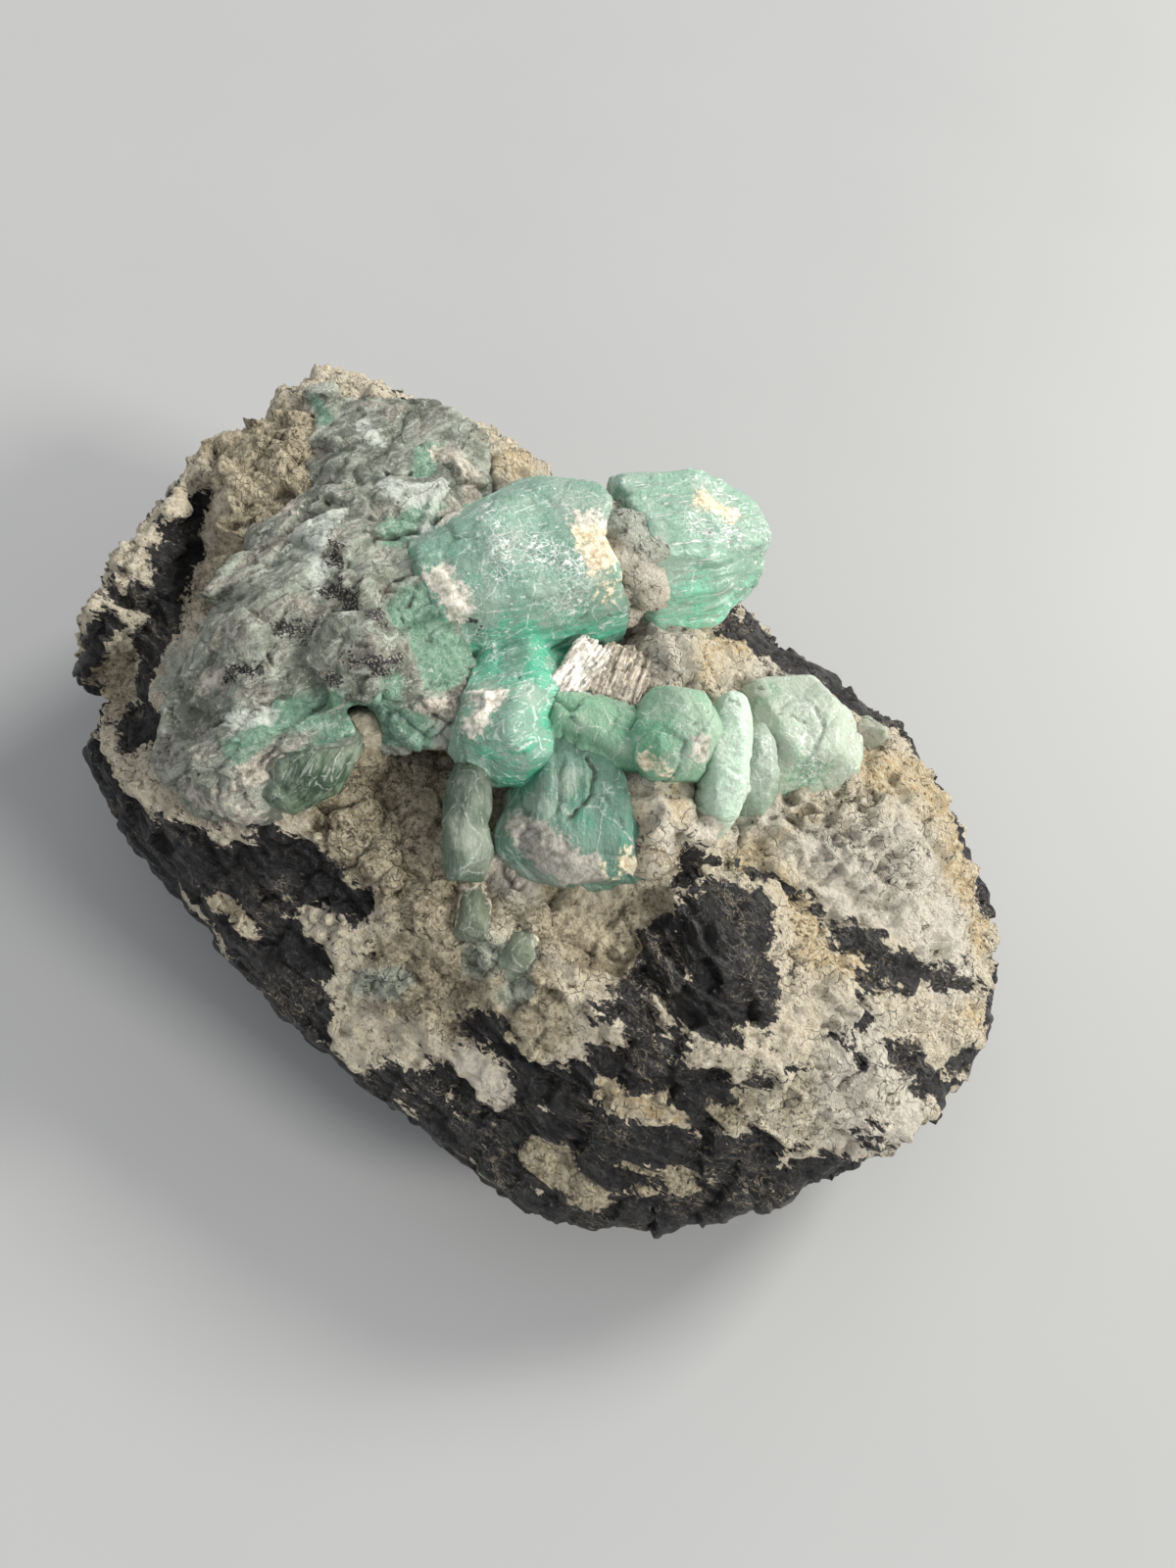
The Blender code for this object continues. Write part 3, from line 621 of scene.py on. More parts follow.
def reach(points, strokes):
    """How far inside the nearest stroke each point lies, in mm. It is negative outside them all."""
    best = np.full(len(points), FAR_OUTSIDE)
    for width, *path in strokes:
        for start, end in zip(path, path[1:]):
            start, end = np.array(start, float), np.array(end, float)
            run = end - start
            share = np.clip((points - start) @ run / (run @ run), 0, 1)
            gap = np.sqrt(((points - start - np.outer(share, run)) ** 2).sum(1))
            best = np.maximum(best, width - gap)
    return best


def boxwork(points, size, seed):
    """Thin raised walls round small sunken cells, from 0 in the cells to 1 on the walls."""
    bent = jostled(points, 0.3 * size, size, seed + 3)
    nearest, second, _, _ = cells(stretched(bent, (1.0, 0.6, 0.2), 1.7), size, seed)
    return 1 - step_up(second - nearest, 0.05, 0.42)


def pushed(points, node):
    """The points after the listed pushes that the node takes."""
    moved = points.copy()
    for centre, width, push in PUSHES.get(node, ()):
        gap = np.sqrt(((points - np.array(centre)) ** 2).sum(1)) / width
        moved += np.outer(step_up(1 - gap, 0, 1), push)
    return moved


def step_up(value, low, high):
    """A soft step from 0 to 1."""
    share = np.clip((value - low) / (high - low), 0, 1)
    return share * share * (3 - 2 * share)


# ---------- meshes ----------

def deselect():
    bpy.ops.object.select_all(action="DESELECT")


def choose(piece):
    deselect()
    piece.select_set(True)
    bpy.context.view_layer.objects.active = piece


def apply_modifier(piece, kind, **settings):
    choose(piece)
    modifier = piece.modifiers.new(kind.title(), kind)
    for name, value in settings.items():
        setattr(modifier, name, value)
    bpy.ops.object.modifier_apply(modifier=modifier.name)


def dense_copy(node, name, voxel):
    """A copy of a solid of the part, made of small even faces that relief can be worked into."""
    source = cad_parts[node]
    piece = bpy.data.objects.new(name, source.data.copy())
    bpy.context.scene.collection.objects.link(piece)
    shell = bmesh.new()
    shell.from_mesh(piece.data)
    bmesh.ops.remove_doubles(shell, verts=shell.verts, dist=MERGE_DISTANCE)
    shell.to_mesh(piece.data)
    shell.free()
    piece.data.materials.clear()
    apply_modifier(piece, "REMESH", mode="VOXEL", voxel_size=voxel * MM, adaptivity=0.0)
    return piece


def points_of(piece):
    places = np.zeros(len(piece.data.vertices) * 3)
    piece.data.vertices.foreach_get("co", places)
    return places.reshape(-1, 3) / MM


def normals_of(piece):
    ways = np.zeros(len(piece.data.vertices) * 3)
    piece.data.vertices.foreach_get("normal", ways)
    return ways.reshape(-1, 3)


def place_points(piece, points):
    """Puts the points back, kept inside the part's own box."""
    low, high = [np.array(corner) / MM for corner in PART_BOX]
    piece.data.vertices.foreach_set("co", (np.clip(points, low, high) * MM).ravel())
    piece.data.update()


def write_mask(piece, name, values):
    layer = piece.data.attributes.new(name, "FLOAT", "POINT")
    layer.data.foreach_set("value", np.clip(values, FAR_OUTSIDE, -FAR_OUTSIDE).astype(np.float32))


def thin_out(piece, triangles):
    now = sum(len(face.vertices) - 2 for face in piece.data.polygons)
    if now > triangles:
        apply_modifier(piece, "DECIMATE", ratio=triangles / now)


def even_out(piece, times, strength):
    apply_modifier(piece, "SMOOTH", factor=strength, iterations=times)


def shade_smooth(piece):
    piece.data.polygons.foreach_set("use_smooth", [True] * len(piece.data.polygons))


def distance_to(points, tree, limit):
    """Distance from each point to a surface, and the way to it, up to a limit in mm."""
    gaps = np.full(len(points), limit)
    ways = np.zeros((len(points), 3))
    for index, place in enumerate(points):
        spot, _, _, gap = tree.find_nearest(Vector(place), limit)
        if spot is not None:
            gaps[index] = gap
            ways[index] = np.array(spot) - place
    return gaps, ways


def tree_of(*nodes):
    """A search tree of the solids of the part, in mm."""
    corners, faces = [], []
    for node in nodes:
        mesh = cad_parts[node].data
        first = len(corners)
        corners += [vertex.co / MM for vertex in mesh.vertices]
        faces += [[first + index for index in face.vertices] for face in mesh.polygons]
    return BVHTree.FromPolygons(corners, faces)


# ---------- materials ----------

# Noise lies round this value.
MIDDLE = 0.5
# How far red, green and blue light wander in milky beryl.
MILKY = (0.6, 1.0, 0.8)


class Wire:
    """An output of a material's node, with arithmetic."""

    def __init__(self, maker, socket):
        self.maker, self.socket = maker, socket

    def maths(self, operation, *others):
        return self.maker.add("ShaderNodeMath", dict(operation=operation), {
            index: value for index, value in enumerate((self, *others))})

    def __add__(self, other):
        return self.maths("ADD", other)

    __radd__ = __add__

    def __mul__(self, other):
        return self.maths("MULTIPLY", other)

    __rmul__ = __mul__

    def __sub__(self, other):
        return self.maths("SUBTRACT", other)

    def __rsub__(self, other):
        return self.maker.add("ShaderNodeMath", dict(operation="SUBTRACT"), {0: other, 1: self})

    def __abs__(self):
        return self.maths("ABSOLUTE")

    def __or__(self, other):
        return self.maths("MAXIMUM", other)

    def between(self, low, high):
        """0 below low, 1 above high, and soft between them."""
        return self.maker.add("ShaderNodeMapRange", dict(interpolation_type="SMOOTHSTEP"), {
            0: self, 1: low, 2: high, 3: 0.0, 4: 1.0})


class Maker:
    """Builds the nodes of one material."""

    def __init__(self, name):
        self.material = bpy.data.materials.new(name)
        self.material.use_nodes = True
        self.tree = self.material.node_tree
        self.tree.nodes.clear()
        self.place = self.add("ShaderNodeTexCoord", {}, {}, "Object")

    def add(self, kind, settings, sockets, output=0):
        node = self.tree.nodes.new(kind)
        for name, value in settings.items():
            setattr(node, name, value)
        for name, value in sockets.items():
            if isinstance(value, Wire):
                self.tree.links.new(value.socket, node.inputs[name])
            else:
                node.inputs[name].default_value = value
        return Wire(self, node.outputs[output]) if node.outputs else None

    def mask(self, name):
        return self.add("ShaderNodeAttribute", dict(attribute_name=name), {}, "Fac")

    def patch(self, name, edge, *frays):
        """A patch by its mask. Its edge is frayed by noises, each with how far it moves the edge in mm."""
        inside = self.mask(name)
        for noise, shift in frays:
            inside = inside + (noise - MIDDLE) * shift
        return inside.between(*edge)

    def blend(self, share, first, second):
        """A colour between two, or one laid over another."""
        first, second = [value if isinstance(value, Wire) else (*value, 1.0) for value in (first, second)]
        return self.add("ShaderNodeMix", dict(data_type="RGBA", clamp_factor=True), {
            0: share, 6: first, 7: second}, 2)

    def mottled(self, noise, low, high, tones):
        """The dark tone where the noise is low and the light one where it is high."""
        return self.blend(noise.between(low, high), *tones)

    def long_way(self, axis, length, at=None):
        """Object coordinates turned to an axis and drawn out along it."""
        turn = Vector(axis).to_track_quat("Z", "Y").to_euler()
        return self.add("ShaderNodeMapping", dict(vector_type="TEXTURE"), {
            "Vector": at or self.place, "Rotation": turn, "Scale": (1.0, 1.0, length)})

    def speckle(self, size, detail=6.0, rough=0.55, at=None, bend=0.0):
        """Noise whose lumps are of one size in mm, from about 0.25 to 0.75."""
        return self.add("ShaderNodeTexNoise", {}, {
            "Vector": at or self.place, "Scale": 1 / (size * MM), "Detail": detail,
            "Roughness": rough, "Distortion": bend})

    def cracks(self, size, at=None):
        """Distance to the edges of cells of one size in mm."""
        return self.add("ShaderNodeTexVoronoi", dict(feature="DISTANCE_TO_EDGE"), {
            "Vector": at or self.place, "Scale": 1 / (size * MM)})

    def bent(self, amount, size):
        """Object coordinates pushed about by noise, so that straight patterns come out crooked."""
        noise = self.add("ShaderNodeTexNoise", {}, {"Vector": self.place, "Scale": 1 / (size * MM)}, "Color")
        push = self.add("ShaderNodeVectorMath", dict(operation="SCALE"), {0: noise, "Scale": 2 * amount * MM})
        return self.add("ShaderNodeVectorMath", dict(operation="ADD"), {0: self.place, 1: push})

    def pebbles(self, size, at):
        """Distance to the middle of cells of one size in mm."""
        return self.add("ShaderNodeTexVoronoi", dict(feature="F1"), {"Vector": at, "Scale": 1 / (size * MM)})

    def bump(self, height, depth, strength):
        """A bump whose depth is in mm."""
        return self.add("ShaderNodeBump", {}, {
            "Height": height, "Distance": depth * MM, "Strength": strength})

    def finish(self, colour, roughness, normal, **fixed):
        """The surface itself. Values that are the same all over are set on the shader's own sockets."""
        sockets = {"Base Color": colour, "Roughness": roughness, "Normal": normal}
        sockets.update({name.replace("_", " "): value for name, value in fixed.items()})
        surface = self.add("ShaderNodeBsdfPrincipled", dict(subsurface_method="RANDOM_WALK"), sockets)
        self.add("ShaderNodeOutputMaterial", {}, {"Surface": surface})
        return self.material


def scaled(colour, share):
    return tuple(part * share for part in colour)


def rock_material():
    """Black foliated schist under a mottled crust with pits, gaps between its grains, and cracks. Shade is
    painted into the crust's hollows, pits and gaps, and sheen onto the schist.
    """
    m = Maker("schist_with_crust")
    fine = m.speckle(2.2, 10, 0.65)
    broad = m.speckle(14, 6, 0.55)
    layered = m.speckle(6, 10, 0.64, m.long_way(LAYER, 0.22), 0.5)
    dark = m.patch("dark", (-0.25, 0.25), (fine, 8), (layered, 11))
    ridges = 1 - abs(m.speckle(3.6, 8, 0.66) - MIDDLE) * 4
    rounds = 1 - m.pebbles(2.4, m.bent(2.0, 6))
    crags = ridges * 0.5 + rounds * 0.4 + m.speckle(0.8, 5, 0.7) * 0.75
    mottle = m.speckle(1.5, 8, 0.7)
    crust = m.mottled(mottle, 0.35, 0.58, BUFF_CRUST)
    cover = {}
    for name, (wide, narrow, edge, strength, spread, tones) in CRUST_LAYERS.items():
        cover[name] = m.patch(name, edge, (broad, wide), (fine, narrow))
        crust = m.blend(cover[name] * strength, crust, m.mottled(mottle, *spread, tones))

    # Painted shade: the crust is darkened to brown in its hollows and where the relief sinks.
    hollow = 1 - crags.between(0.50, 0.76)
    low = m.mask("low").between(0.6, 2.0)
    crust = m.blend((hollow * 0.36 | low * 0.5) * (1 - cover["white"] * 0.3), crust, HOLLOW_SHADE_BROWN)
    patchy = m.speckle(20, 4, 0.5).between(0.42, 0.58)
    gaps = (1 - m.cracks(3.6, m.bent(3.0, 5)).between(0.0, 0.07)) * fine.between(0.44, 0.55) * patchy
    pits = (m.speckle(2.6, 6, 0.72) + (broad - MIDDLE) * 0.3).between(0.60, 0.66)
    # Painted shade: the pits and the gaps between the grains are darkened.
    crust = m.blend((gaps * 0.7) | (pits * 0.85), crust, PIT_SHADE_BROWN)
    white_grains = m.speckle(0.7, 4, 0.7).between(0.56, 0.66)
    crust = m.blend(white_grains * (1 - cover["tan"] * 0.7) * 0.6, crust, GRAIN_WHITE)
    spots = (m.speckle(1.2, 4, 0.6) + (broad - MIDDLE) * 0.3).between(0.63, 0.67)
    crust = m.blend(spots * (1 - cover["white"]) * 0.8, crust, SPOT_BLACK)
    splits = (1 - m.cracks(17, m.bent(7.0, 9)).between(0.0, 0.016)) * broad.between(0.48, 0.58)
    crust = m.blend(splits * 0.85, crust, CRACK_BLACK)
    crust = m.blend(m.patch("crack", (-0.4, 0.4)) * 0.85, crust, CRACK_BLACK)

    sheen = m.speckle(1.6, 7, 0.65, m.long_way((0.8, 0.5, -0.2), 4.0), 0.6)
    scratches = 1 - abs(m.speckle(5, 5, 0.55, None, 1.8) - MIDDLE).between(0.002, 0.010)
    veins = 1 - abs(m.speckle(9, 7, 0.6, m.long_way(LAYER, 0.4), 1.2) - MIDDLE).between(0.003, 0.012)
    schist = m.mottled(fine, 0.35, 0.7, BLACK_SCHIST)
    # Painted sheen: light grey streaks along the schist's layers.
    schist = m.blend(sheen.between(0.57, 0.74) * 0.5, schist, SHEEN_GREY)
    schist = m.blend(scratches * broad.between(0.4, 0.6) * 0.45, schist, SCRATCH_GREY)
    schist = m.blend(veins * broad.between(0.45, 0.6) * 0.7, schist, VEIN_TAN)

    foil = m.speckle(2.8, 9, 0.62, m.long_way(LAYER, 0.2), 0.8)
    folds = 1 - abs(m.speckle(7, 5, 0.55, m.bent(4.0, 12)) - MIDDLE) * 3
    crust_height = crags - (gaps | pits) * 0.6
    schist_height = foil * 0.7 + sheen * 0.25 + folds * 0.9
    height = crust_height * (1 - dark) + schist_height * dark
    roughness = (0.22 + fine * 0.25) * dark + 0.9 * (1 - dark)
    return m.finish(m.blend(dark, crust, schist), roughness, m.bump(height, 2.8, 1.0), Specular_IOR_Level=0.5)


def beryl_material(name, axis, pale, deep, milk, frosty, lined):
    """Milky green beryl: cloudy, streaked along the crystal, crackled, with a weathered skin, and with shade
    painted where it meets another crystal.
    """
    m = Maker(name)
    fine = m.speckle(1.6, 8, 0.6)
    broad = m.speckle(9, 5, 0.5)
    streak = m.speckle(1.5, 7, 0.62, m.long_way(axis, 9.0))
    cloud = (broad + (streak - MIDDLE) * 0.7).between(0.36, 0.64)
    depth = (m.mask("deep") * 0.07 + cloud - 0.1).between(0.0, 1.2)
    colour = m.blend(depth, pale, deep)
    ashen = m.speckle(13, 4, 0.5, m.bent(3.0, 9)).between(0.48, 0.62) * (1 - depth)
    ash = tuple(0.45 * green + 0.55 * grey for green, grey in zip(pale, ASH_GREY))
    colour = m.blend(ashen * 0.6, colour, ash)
    colour = m.blend(streak.between(0.57, 0.70) * 0.5, colour, milk)

    bloom = scaled(BLOOM_WHITE, 0.5 + 0.42 * frosty)
    lines = m.speckle(0.9, 5, 0.6, m.long_way(axis, 18.0)).between(0.57, 0.65) * broad.between(0.36, 0.56)
    colour = m.blend(lines * (0.75 * lined), colour, bloom)
    veils = 1 - m.cracks(6.5, m.long_way(axis, 1.8, m.bent(1.5, 5))).between(0.004, 0.035)
    frost = (m.mask("frost") * 0.06 + 0.5 + (broad - MIDDLE) * 1.2).between(0.30, 0.9)
    flakes = (m.speckle(1.1, 6, 0.68, m.long_way(axis, 1.8)) + frost * 0.12).between(0.62, 0.68)
    crackle = (1 - m.cracks(2.2, m.bent(1.0, 3)).between(0.01, 0.07)) * frost * 0.8
    frosted = (crackle | (flakes * 0.9)) * (0.3 + 0.7 * frosty)
    colour = m.blend((veils * fine.between(0.42, 0.56) * 0.5) | frosted, colour, bloom)

    skin = m.patch("skin", (-0.6, 1.4), (broad, 12), (fine, 9))
    skin_colour = m.mottled(fine, 0.35, 0.62, [scaled(tone, 0.33 + 0.6 * frosty) for tone in DUSTY_SKIN])
    cream = m.patch("cream", (-1.0, 1.0)) * 0.8
    skin_colour = m.blend(cream, skin_colour, m.mottled(fine, 0.38, 0.6, CREAMY_SKIN))
    colour = m.blend(skin * 0.9, colour, skin_colour)
    dirt = m.patch("dirt", (0.0, 1.8), (fine, 6))
    colour = m.blend(dirt * 0.85, colour, m.mottled(fine, 0.4, 0.62, BERYL_DIRT))
    colour = m.blend(m.patch("mica", (-0.2, 0.3), (fine, 12)), colour, MICA_BLACK)
    dots = m.speckle(0.9, 3, 0.5).between(0.70, 0.73) * broad.between(0.4, 0.6)
    colour = m.blend(dots * 0.7, colour, DOT_GREEN)
    # Cracks are darkened, and shade is painted where the crystal meets another one.
    splits = m.patch("crack", (-0.25, 0.3), (fine, 1.5)) | m.patch("contact_shade", (0.15, 0.55), (fine, 1.2))
    colour = m.blend(splits * 0.8, colour, CRACK_AND_CONTACT_SHADE_GREEN)

    roughness = 0.42 - 0.18 * frosty + fine * 0.2 + (skin | dirt) * 0.35
    dusty = m.speckle(0.6, 4, 0.6) * 0.35 * (skin | dirt)
    height = streak * 0.6 + lines * (0.4 * lined) + flakes * frost * 0.5 + fine * 0.7 + dusty
    return m.finish(
        colour, roughness, m.bump(height, 1.1, 0.9), Subsurface_Weight=0.35, Subsurface_Radius=MILKY,
        Subsurface_Scale=3 * MM, IOR=1.58, Coat_Weight=0.05 + 0.15 * frosty, Coat_Roughness=0.12)


def mass_material():
    """The pale streaked beryl of the left end: layered, dusty, with mica spots, and with shade painted where
    it meets a crystal.
    """
    m = Maker("weathered_beryl")
    fine = m.speckle(1.8, 9, 0.62)
    broad = m.speckle(12, 6, 0.55)
    streak = m.speckle(2.2, 10, 0.72, m.long_way(STREAKS, 4.0, m.bent(2.5, 12)), 0.2)
    colour = m.mottled(broad + (streak - MIDDLE) * 0.6, 0.38, 0.60, MASS_GREY_GREEN)
    green = (m.mask("deep") * 0.4 + 0.4 + (broad - MIDDLE) * 3 + (streak - MIDDLE) * 2).between(0, 1)
    colour = m.blend(green * 0.85, colour, m.mottled(fine, 0.35, 0.65, MASS_GREEN))
    colour = m.blend(streak.between(0.55, 0.68) * 0.6, colour, MASS_STREAK)
    grey = (m.speckle(7, 9, 0.68, m.long_way(STREAKS, 2.5)) + (broad - MIDDLE) * 0.6).between(0.50, 0.58)
    colour = m.blend(grey * (1 - green) * 0.75, colour, m.mottled(fine, 0.35, 0.62, MASS_GREY))
    colour = m.blend(m.patch("frost", (-0.5, 1.6), (fine, 9)) * 0.8, colour, MASS_FROST)
    crackle = 1 - m.cracks(7.5, m.long_way(STREAKS, 1.8, m.bent(2.0, 6))).between(0.004, 0.03)
    colour = m.blend(crackle * fine.between(0.42, 0.55) * 0.7 * (1 - green * 0.8), colour, MASS_CRACKLE)

    skin = m.patch("skin", (-1.0, 2.0), (broad, 12), (fine, 10))
    colour = m.blend(skin * 0.85, colour, m.mottled(fine, 0.35, 0.65, MASS_SKIN))
    dirt = m.patch("dirt", (-0.5, 2.0), (fine, 6))
    colour = m.blend(dirt * 0.8, colour, m.mottled(fine, 0.4, 0.62, MASS_DIRT))
    mica = m.patch("mica", (-0.2, 0.3), (fine, 9))
    colour = m.blend(mica, colour, m.mottled(m.speckle(0.6, 3, 0.5), 0.52, 0.62, MICA_GLINT))
    dust = m.speckle(0.9, 5, 0.72, m.long_way(STREAKS, 1.8)).between(0.54, 0.64)
    dust = dust * m.speckle(8, 5, 0.6).between(0.42, 0.58) * (1 - mica)
    colour = m.blend(dust * 0.55, colour, MASS_DUST)
    dots = (m.speckle(1.1, 4, 0.6) + (broad - MIDDLE) * 0.3).between(0.66, 0.70)
    colour = m.blend(dots * 0.65, colour, MASS_DOT)
    # Cracks are darkened, and shade is painted where the mass meets a crystal.
    splits = m.patch("crack", (-0.4, 0.4), (fine, 2)) | m.patch("contact_shade", (0.15, 0.55), (fine, 1.2))
    colour = m.blend(splits * 0.85, colour, MASS_CRACK_AND_CONTACT_SHADE)

    roughness = 0.48 + fine * 0.25 + (skin | dirt) * 0.15
    height = streak * 0.9 + fine * 1.2 + m.speckle(0.6, 4, 0.6) * 0.4
    return m.finish(colour, roughness, m.bump(height, 1.7, 0.9), Subsurface_Weight=0.2,
                    Subsurface_Radius=MILKY, Subsurface_Scale=2 * MM, IOR=1.57)


def mica_material(name, axis, tones):
    m = Maker(name)
    sheets = m.speckle(0.9, 6, 0.6, m.long_way(axis, 14.0))
    fine = m.speckle(1.5, 6, 0.6)
    colour = m.mottled(sheets + (fine - MIDDLE) * 0.5, 0.38, 0.62, tones)
    return m.finish(colour, 0.32 + fine * 0.25, m.bump(sheets, 0.8, 0.8), IOR=1.58, Metallic=0.15)


# ---------- pieces ----------

# Heights and distances in mm.
FOOT = 0.6
DIRT_REACH = 1.8
# How far from another crystal the painted shade reaches, in mm.
CONTACT_SHADE_REACH = 0.9
SHEET_THICKNESS = 0.75
CRYSTAL_SEED, SEED_STEP = 300, 97


def rock_relief(points, dark):
    """The height of the surface over the solid, in mm: layers in the schist, knobs and pits in the crust."""
    schist = grains(stretched(points, LAYER, 0.35), size=12, layers=5, seed=3)
    schist += (1.2 * (ledges(points, LAYER, step=3.6, seed=5) - 0.5)
               + fractured(points, size=9, tilt=0.34, rise=0.5, groove=0.4, seed=11))
    schist += 0.9 * (1 - np.abs(grains(stretched(points, LAYER, 0.5), size=6, layers=3, seed=17)))

    bent = points + 1.2 * grain(points, size=3.5, seed=41)[:, None]
    large, _, _, _ = cells(bent, size=4.8, seed=23)
    small, _, _, _ = cells(bent, size=2.4, seed=27)
    knobs = 1 - np.clip(large * 1.3, 0, 1) ** 2
    crust = (1.9 * knobs + 1.5 * (1 - small) + 1.8 * grains(points, size=11, layers=6, seed=29)
             + chips(points, size=7, tilt=0.30, seed=33))
    boxed = step_up(grains(points, size=18, layers=2, seed=67) + 0.16 * reach(points, BOXWORK), 0.2, 0.6)
    crust += boxed * (2.7 * boxwork(points, size=4.2, seed=61) - 1.9)

    flat = (fractured(points, size=10, tilt=0.34, rise=0.7, groove=1.1, seed=91)
            + fractured(points, size=3.6, tilt=0.28, rise=0.3, groove=0.5, seed=97))
    flat += 0.7 * grains(points, size=6, layers=4, seed=99) + 1.2
    cleaved = step_up(reach(points, FACETED) + 3 * grains(points, size=9, layers=2, seed=53), -1.5, 1.5)
    crust = crust * (1 - cleaved) + flat * cleaved
    share = step_up(dark, -0.6, 0.6)
    return schist * share + (crust - 0.4) * (1 - share)


def dark_share(points):
    """Where the schist shows: above 0 in it. Low on the sides it shows nearly everywhere."""
    frayed = grains(stretched(points, LAYER, 0.35), size=22, layers=3, seed=71)
    low_side = (52 - points[:, 2]) * 0.35 + 5 * frayed
    dark = np.maximum(reach(points, SCHIST), np.minimum(low_side, 8))
    dark = np.minimum(dark, -1.5 * reach(points, PALE_BANDS))
    return (dark + 1.2 * grains(points, size=8, layers=3, seed=73)
            + 1.6 * grains(stretched(points, LAYER, 0.3), size=10, layers=3, seed=83))


def finished(piece, triangles):
    """Thins the piece out, puts its points back inside the part's own box, and shades it smooth."""
    thin_out(piece, triangles)
    place_points(piece, points_of(piece))
    shade_smooth(piece)
    return piece


def make_rock():
    piece = dense_copy("matrix", "matrix_rock", ROCK_VOXEL)
    even_out(piece, times=4, strength=0.5)
    points, normals = points_of(piece), normals_of(piece)
    height = points[:, 2]
    crystals = tree_of(*[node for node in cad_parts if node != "matrix"])
    gaps, ways = distance_to(points, crystals, limit=8.0)
    dark = dark_share(points)
    relief = rock_relief(points, dark)
    # The foot stays flat, and the relief is quieter low on the sides and close to a crystal.
    foot = step_up(height, FOOT, 5.0) * (0.6 + 0.4 * step_up(height, 40, 66))
    calm = 0.45 + 0.55 * step_up(gaps, 0.3, 2.5)
    # Crust is banked up round the crystals.
    bank = step_up(7.5 - gaps, 0, 7.0) * (1.4 + 1.8 * grains(points, size=5, layers=2, seed=47))
    bank = bank * step_up(height, 60, 72)
    moved = points + normals * ((relief * calm + bank + sculpted(points, "matrix")) * foot)[:, None]
    broken = faceted(moved, normals, count=500, width=9.0, depth=1.2, seed=19)
    moved += (broken - moved) * (foot * step_up(dark, -0.5, 0.8))[:, None]
    # The last gap between the rock and a crystal is closed.
    pull = np.clip(gaps + 0.4, 0, 2.2) * step_up(3.2 - gaps, 0, 1.0) * (gaps > 0.05) * (height > 40)
    moved = pushed(moved + one_long(ways) * pull[:, None], "matrix")
    moved[:, 2] = np.where(height < FOOT, height, np.maximum(moved[:, 2], FOOT / 2))
    place_points(piece, moved)
    # The mask low marks where the relief sinks; the crust is painted darker there as shade.
    write_mask(piece, "low", np.clip(-relief, -3, 3))
    write_mask(piece, "crack", crack_mask(points, "matrix"))
    write_mask(piece, "dark", dark)
    for name, strokes in ROCK_PATCHES.items():
        write_mask(piece, name, reach(points, strokes))
    return finished(piece, ROCK_TRIANGLES)


def grown_together(points, moved, node):
    """Faces close to another crystal run on into it. Also gives how close each point is to one."""
    others = tree_of(*[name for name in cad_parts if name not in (node, "matrix")])
    gaps, ways = distance_to(points, others, limit=3.0)
    pull = np.clip(gaps + 0.3, 0, 1.6) * step_up(1.8 - gaps, 0, 1.0) * (gaps > 0.02)
    return moved + one_long(ways) * pull[:, None], gaps


def crystal_masks(piece, node, rock, points, gaps):
    to_rock, _ = distance_to(points, rock, limit=6.0)
    write_mask(piece, "dirt", DIRT_REACH - to_rock)
    # Mask of the painted shade where the piece comes close to another crystal.
    write_mask(piece, "contact_shade", CONTACT_SHADE_REACH - gaps)
    write_mask(piece, "crack", crack_mask(points, node))
    for name, strokes in CRYSTAL_PATCHES.items():
        write_mask(piece, name, reach(points, strokes))


def make_crystal(node, rock, seed, axis, voxel, triangles, worn, grooves, broken, swell, facets):
    """A crystal broken in blocks, cut by flat faces, grooved along its length, and grown into the others."""
    piece = dense_copy(node, node.replace("_crystal", "_beryl"), voxel)
    even_out(piece, times=worn, strength=0.7)
    points, normals = points_of(piece), normals_of(piece)
    end = step_up(np.abs(normals @ unit(axis)), 0.45, 0.85)
    warp = np.stack([grains(points, 11, 2, seed + 5 + way) for way in range(3)], 1)
    blocks = fractured(points, 9, 0.12 * broken, 0.30 * broken, 0.40, seed + 20, axis, 1.7)
    patchy = step_up(grains(points, size=9, layers=2, seed=seed + 80), -0.3, 0.4)
    bulge = swell + 0.5 + blocks * np.maximum(end, patchy)
    bulged = points + normals * bulge[:, None] + 1.1 * broken * warp
    flat = faceted(bulged, normals, facets, width=9.0, depth=1.3, seed=seed + 90)
    flat = faceted(flat, normals, facets * 2, width=5.0, depth=0.6, seed=seed + 91)

    long_points = stretched(points, axis, 14)
    grooved = (grooves * grains(long_points, size=2.2, layers=3, seed=seed)
               + grooves * grain(long_points, size=6, seed=seed + 4))
    frosted = np.maximum(reach(points, FROST), 0)
    rough = (0.10 * grains(points, size=2.6, layers=4, seed=seed + 60)
             + 0.22 * frosted / 6 * chips(points, size=2.4, tilt=1.0, seed=seed + 50))
    relief = grooved * (1 - 0.8 * end) + rough + sculpted(points, node)
    moved, gaps = grown_together(points, flat + normals * relief[:, None], node)
    place_points(piece, pushed(moved, node))
    crystal_masks(piece, node, rock, points, gaps)
    return finished(piece, triangles)


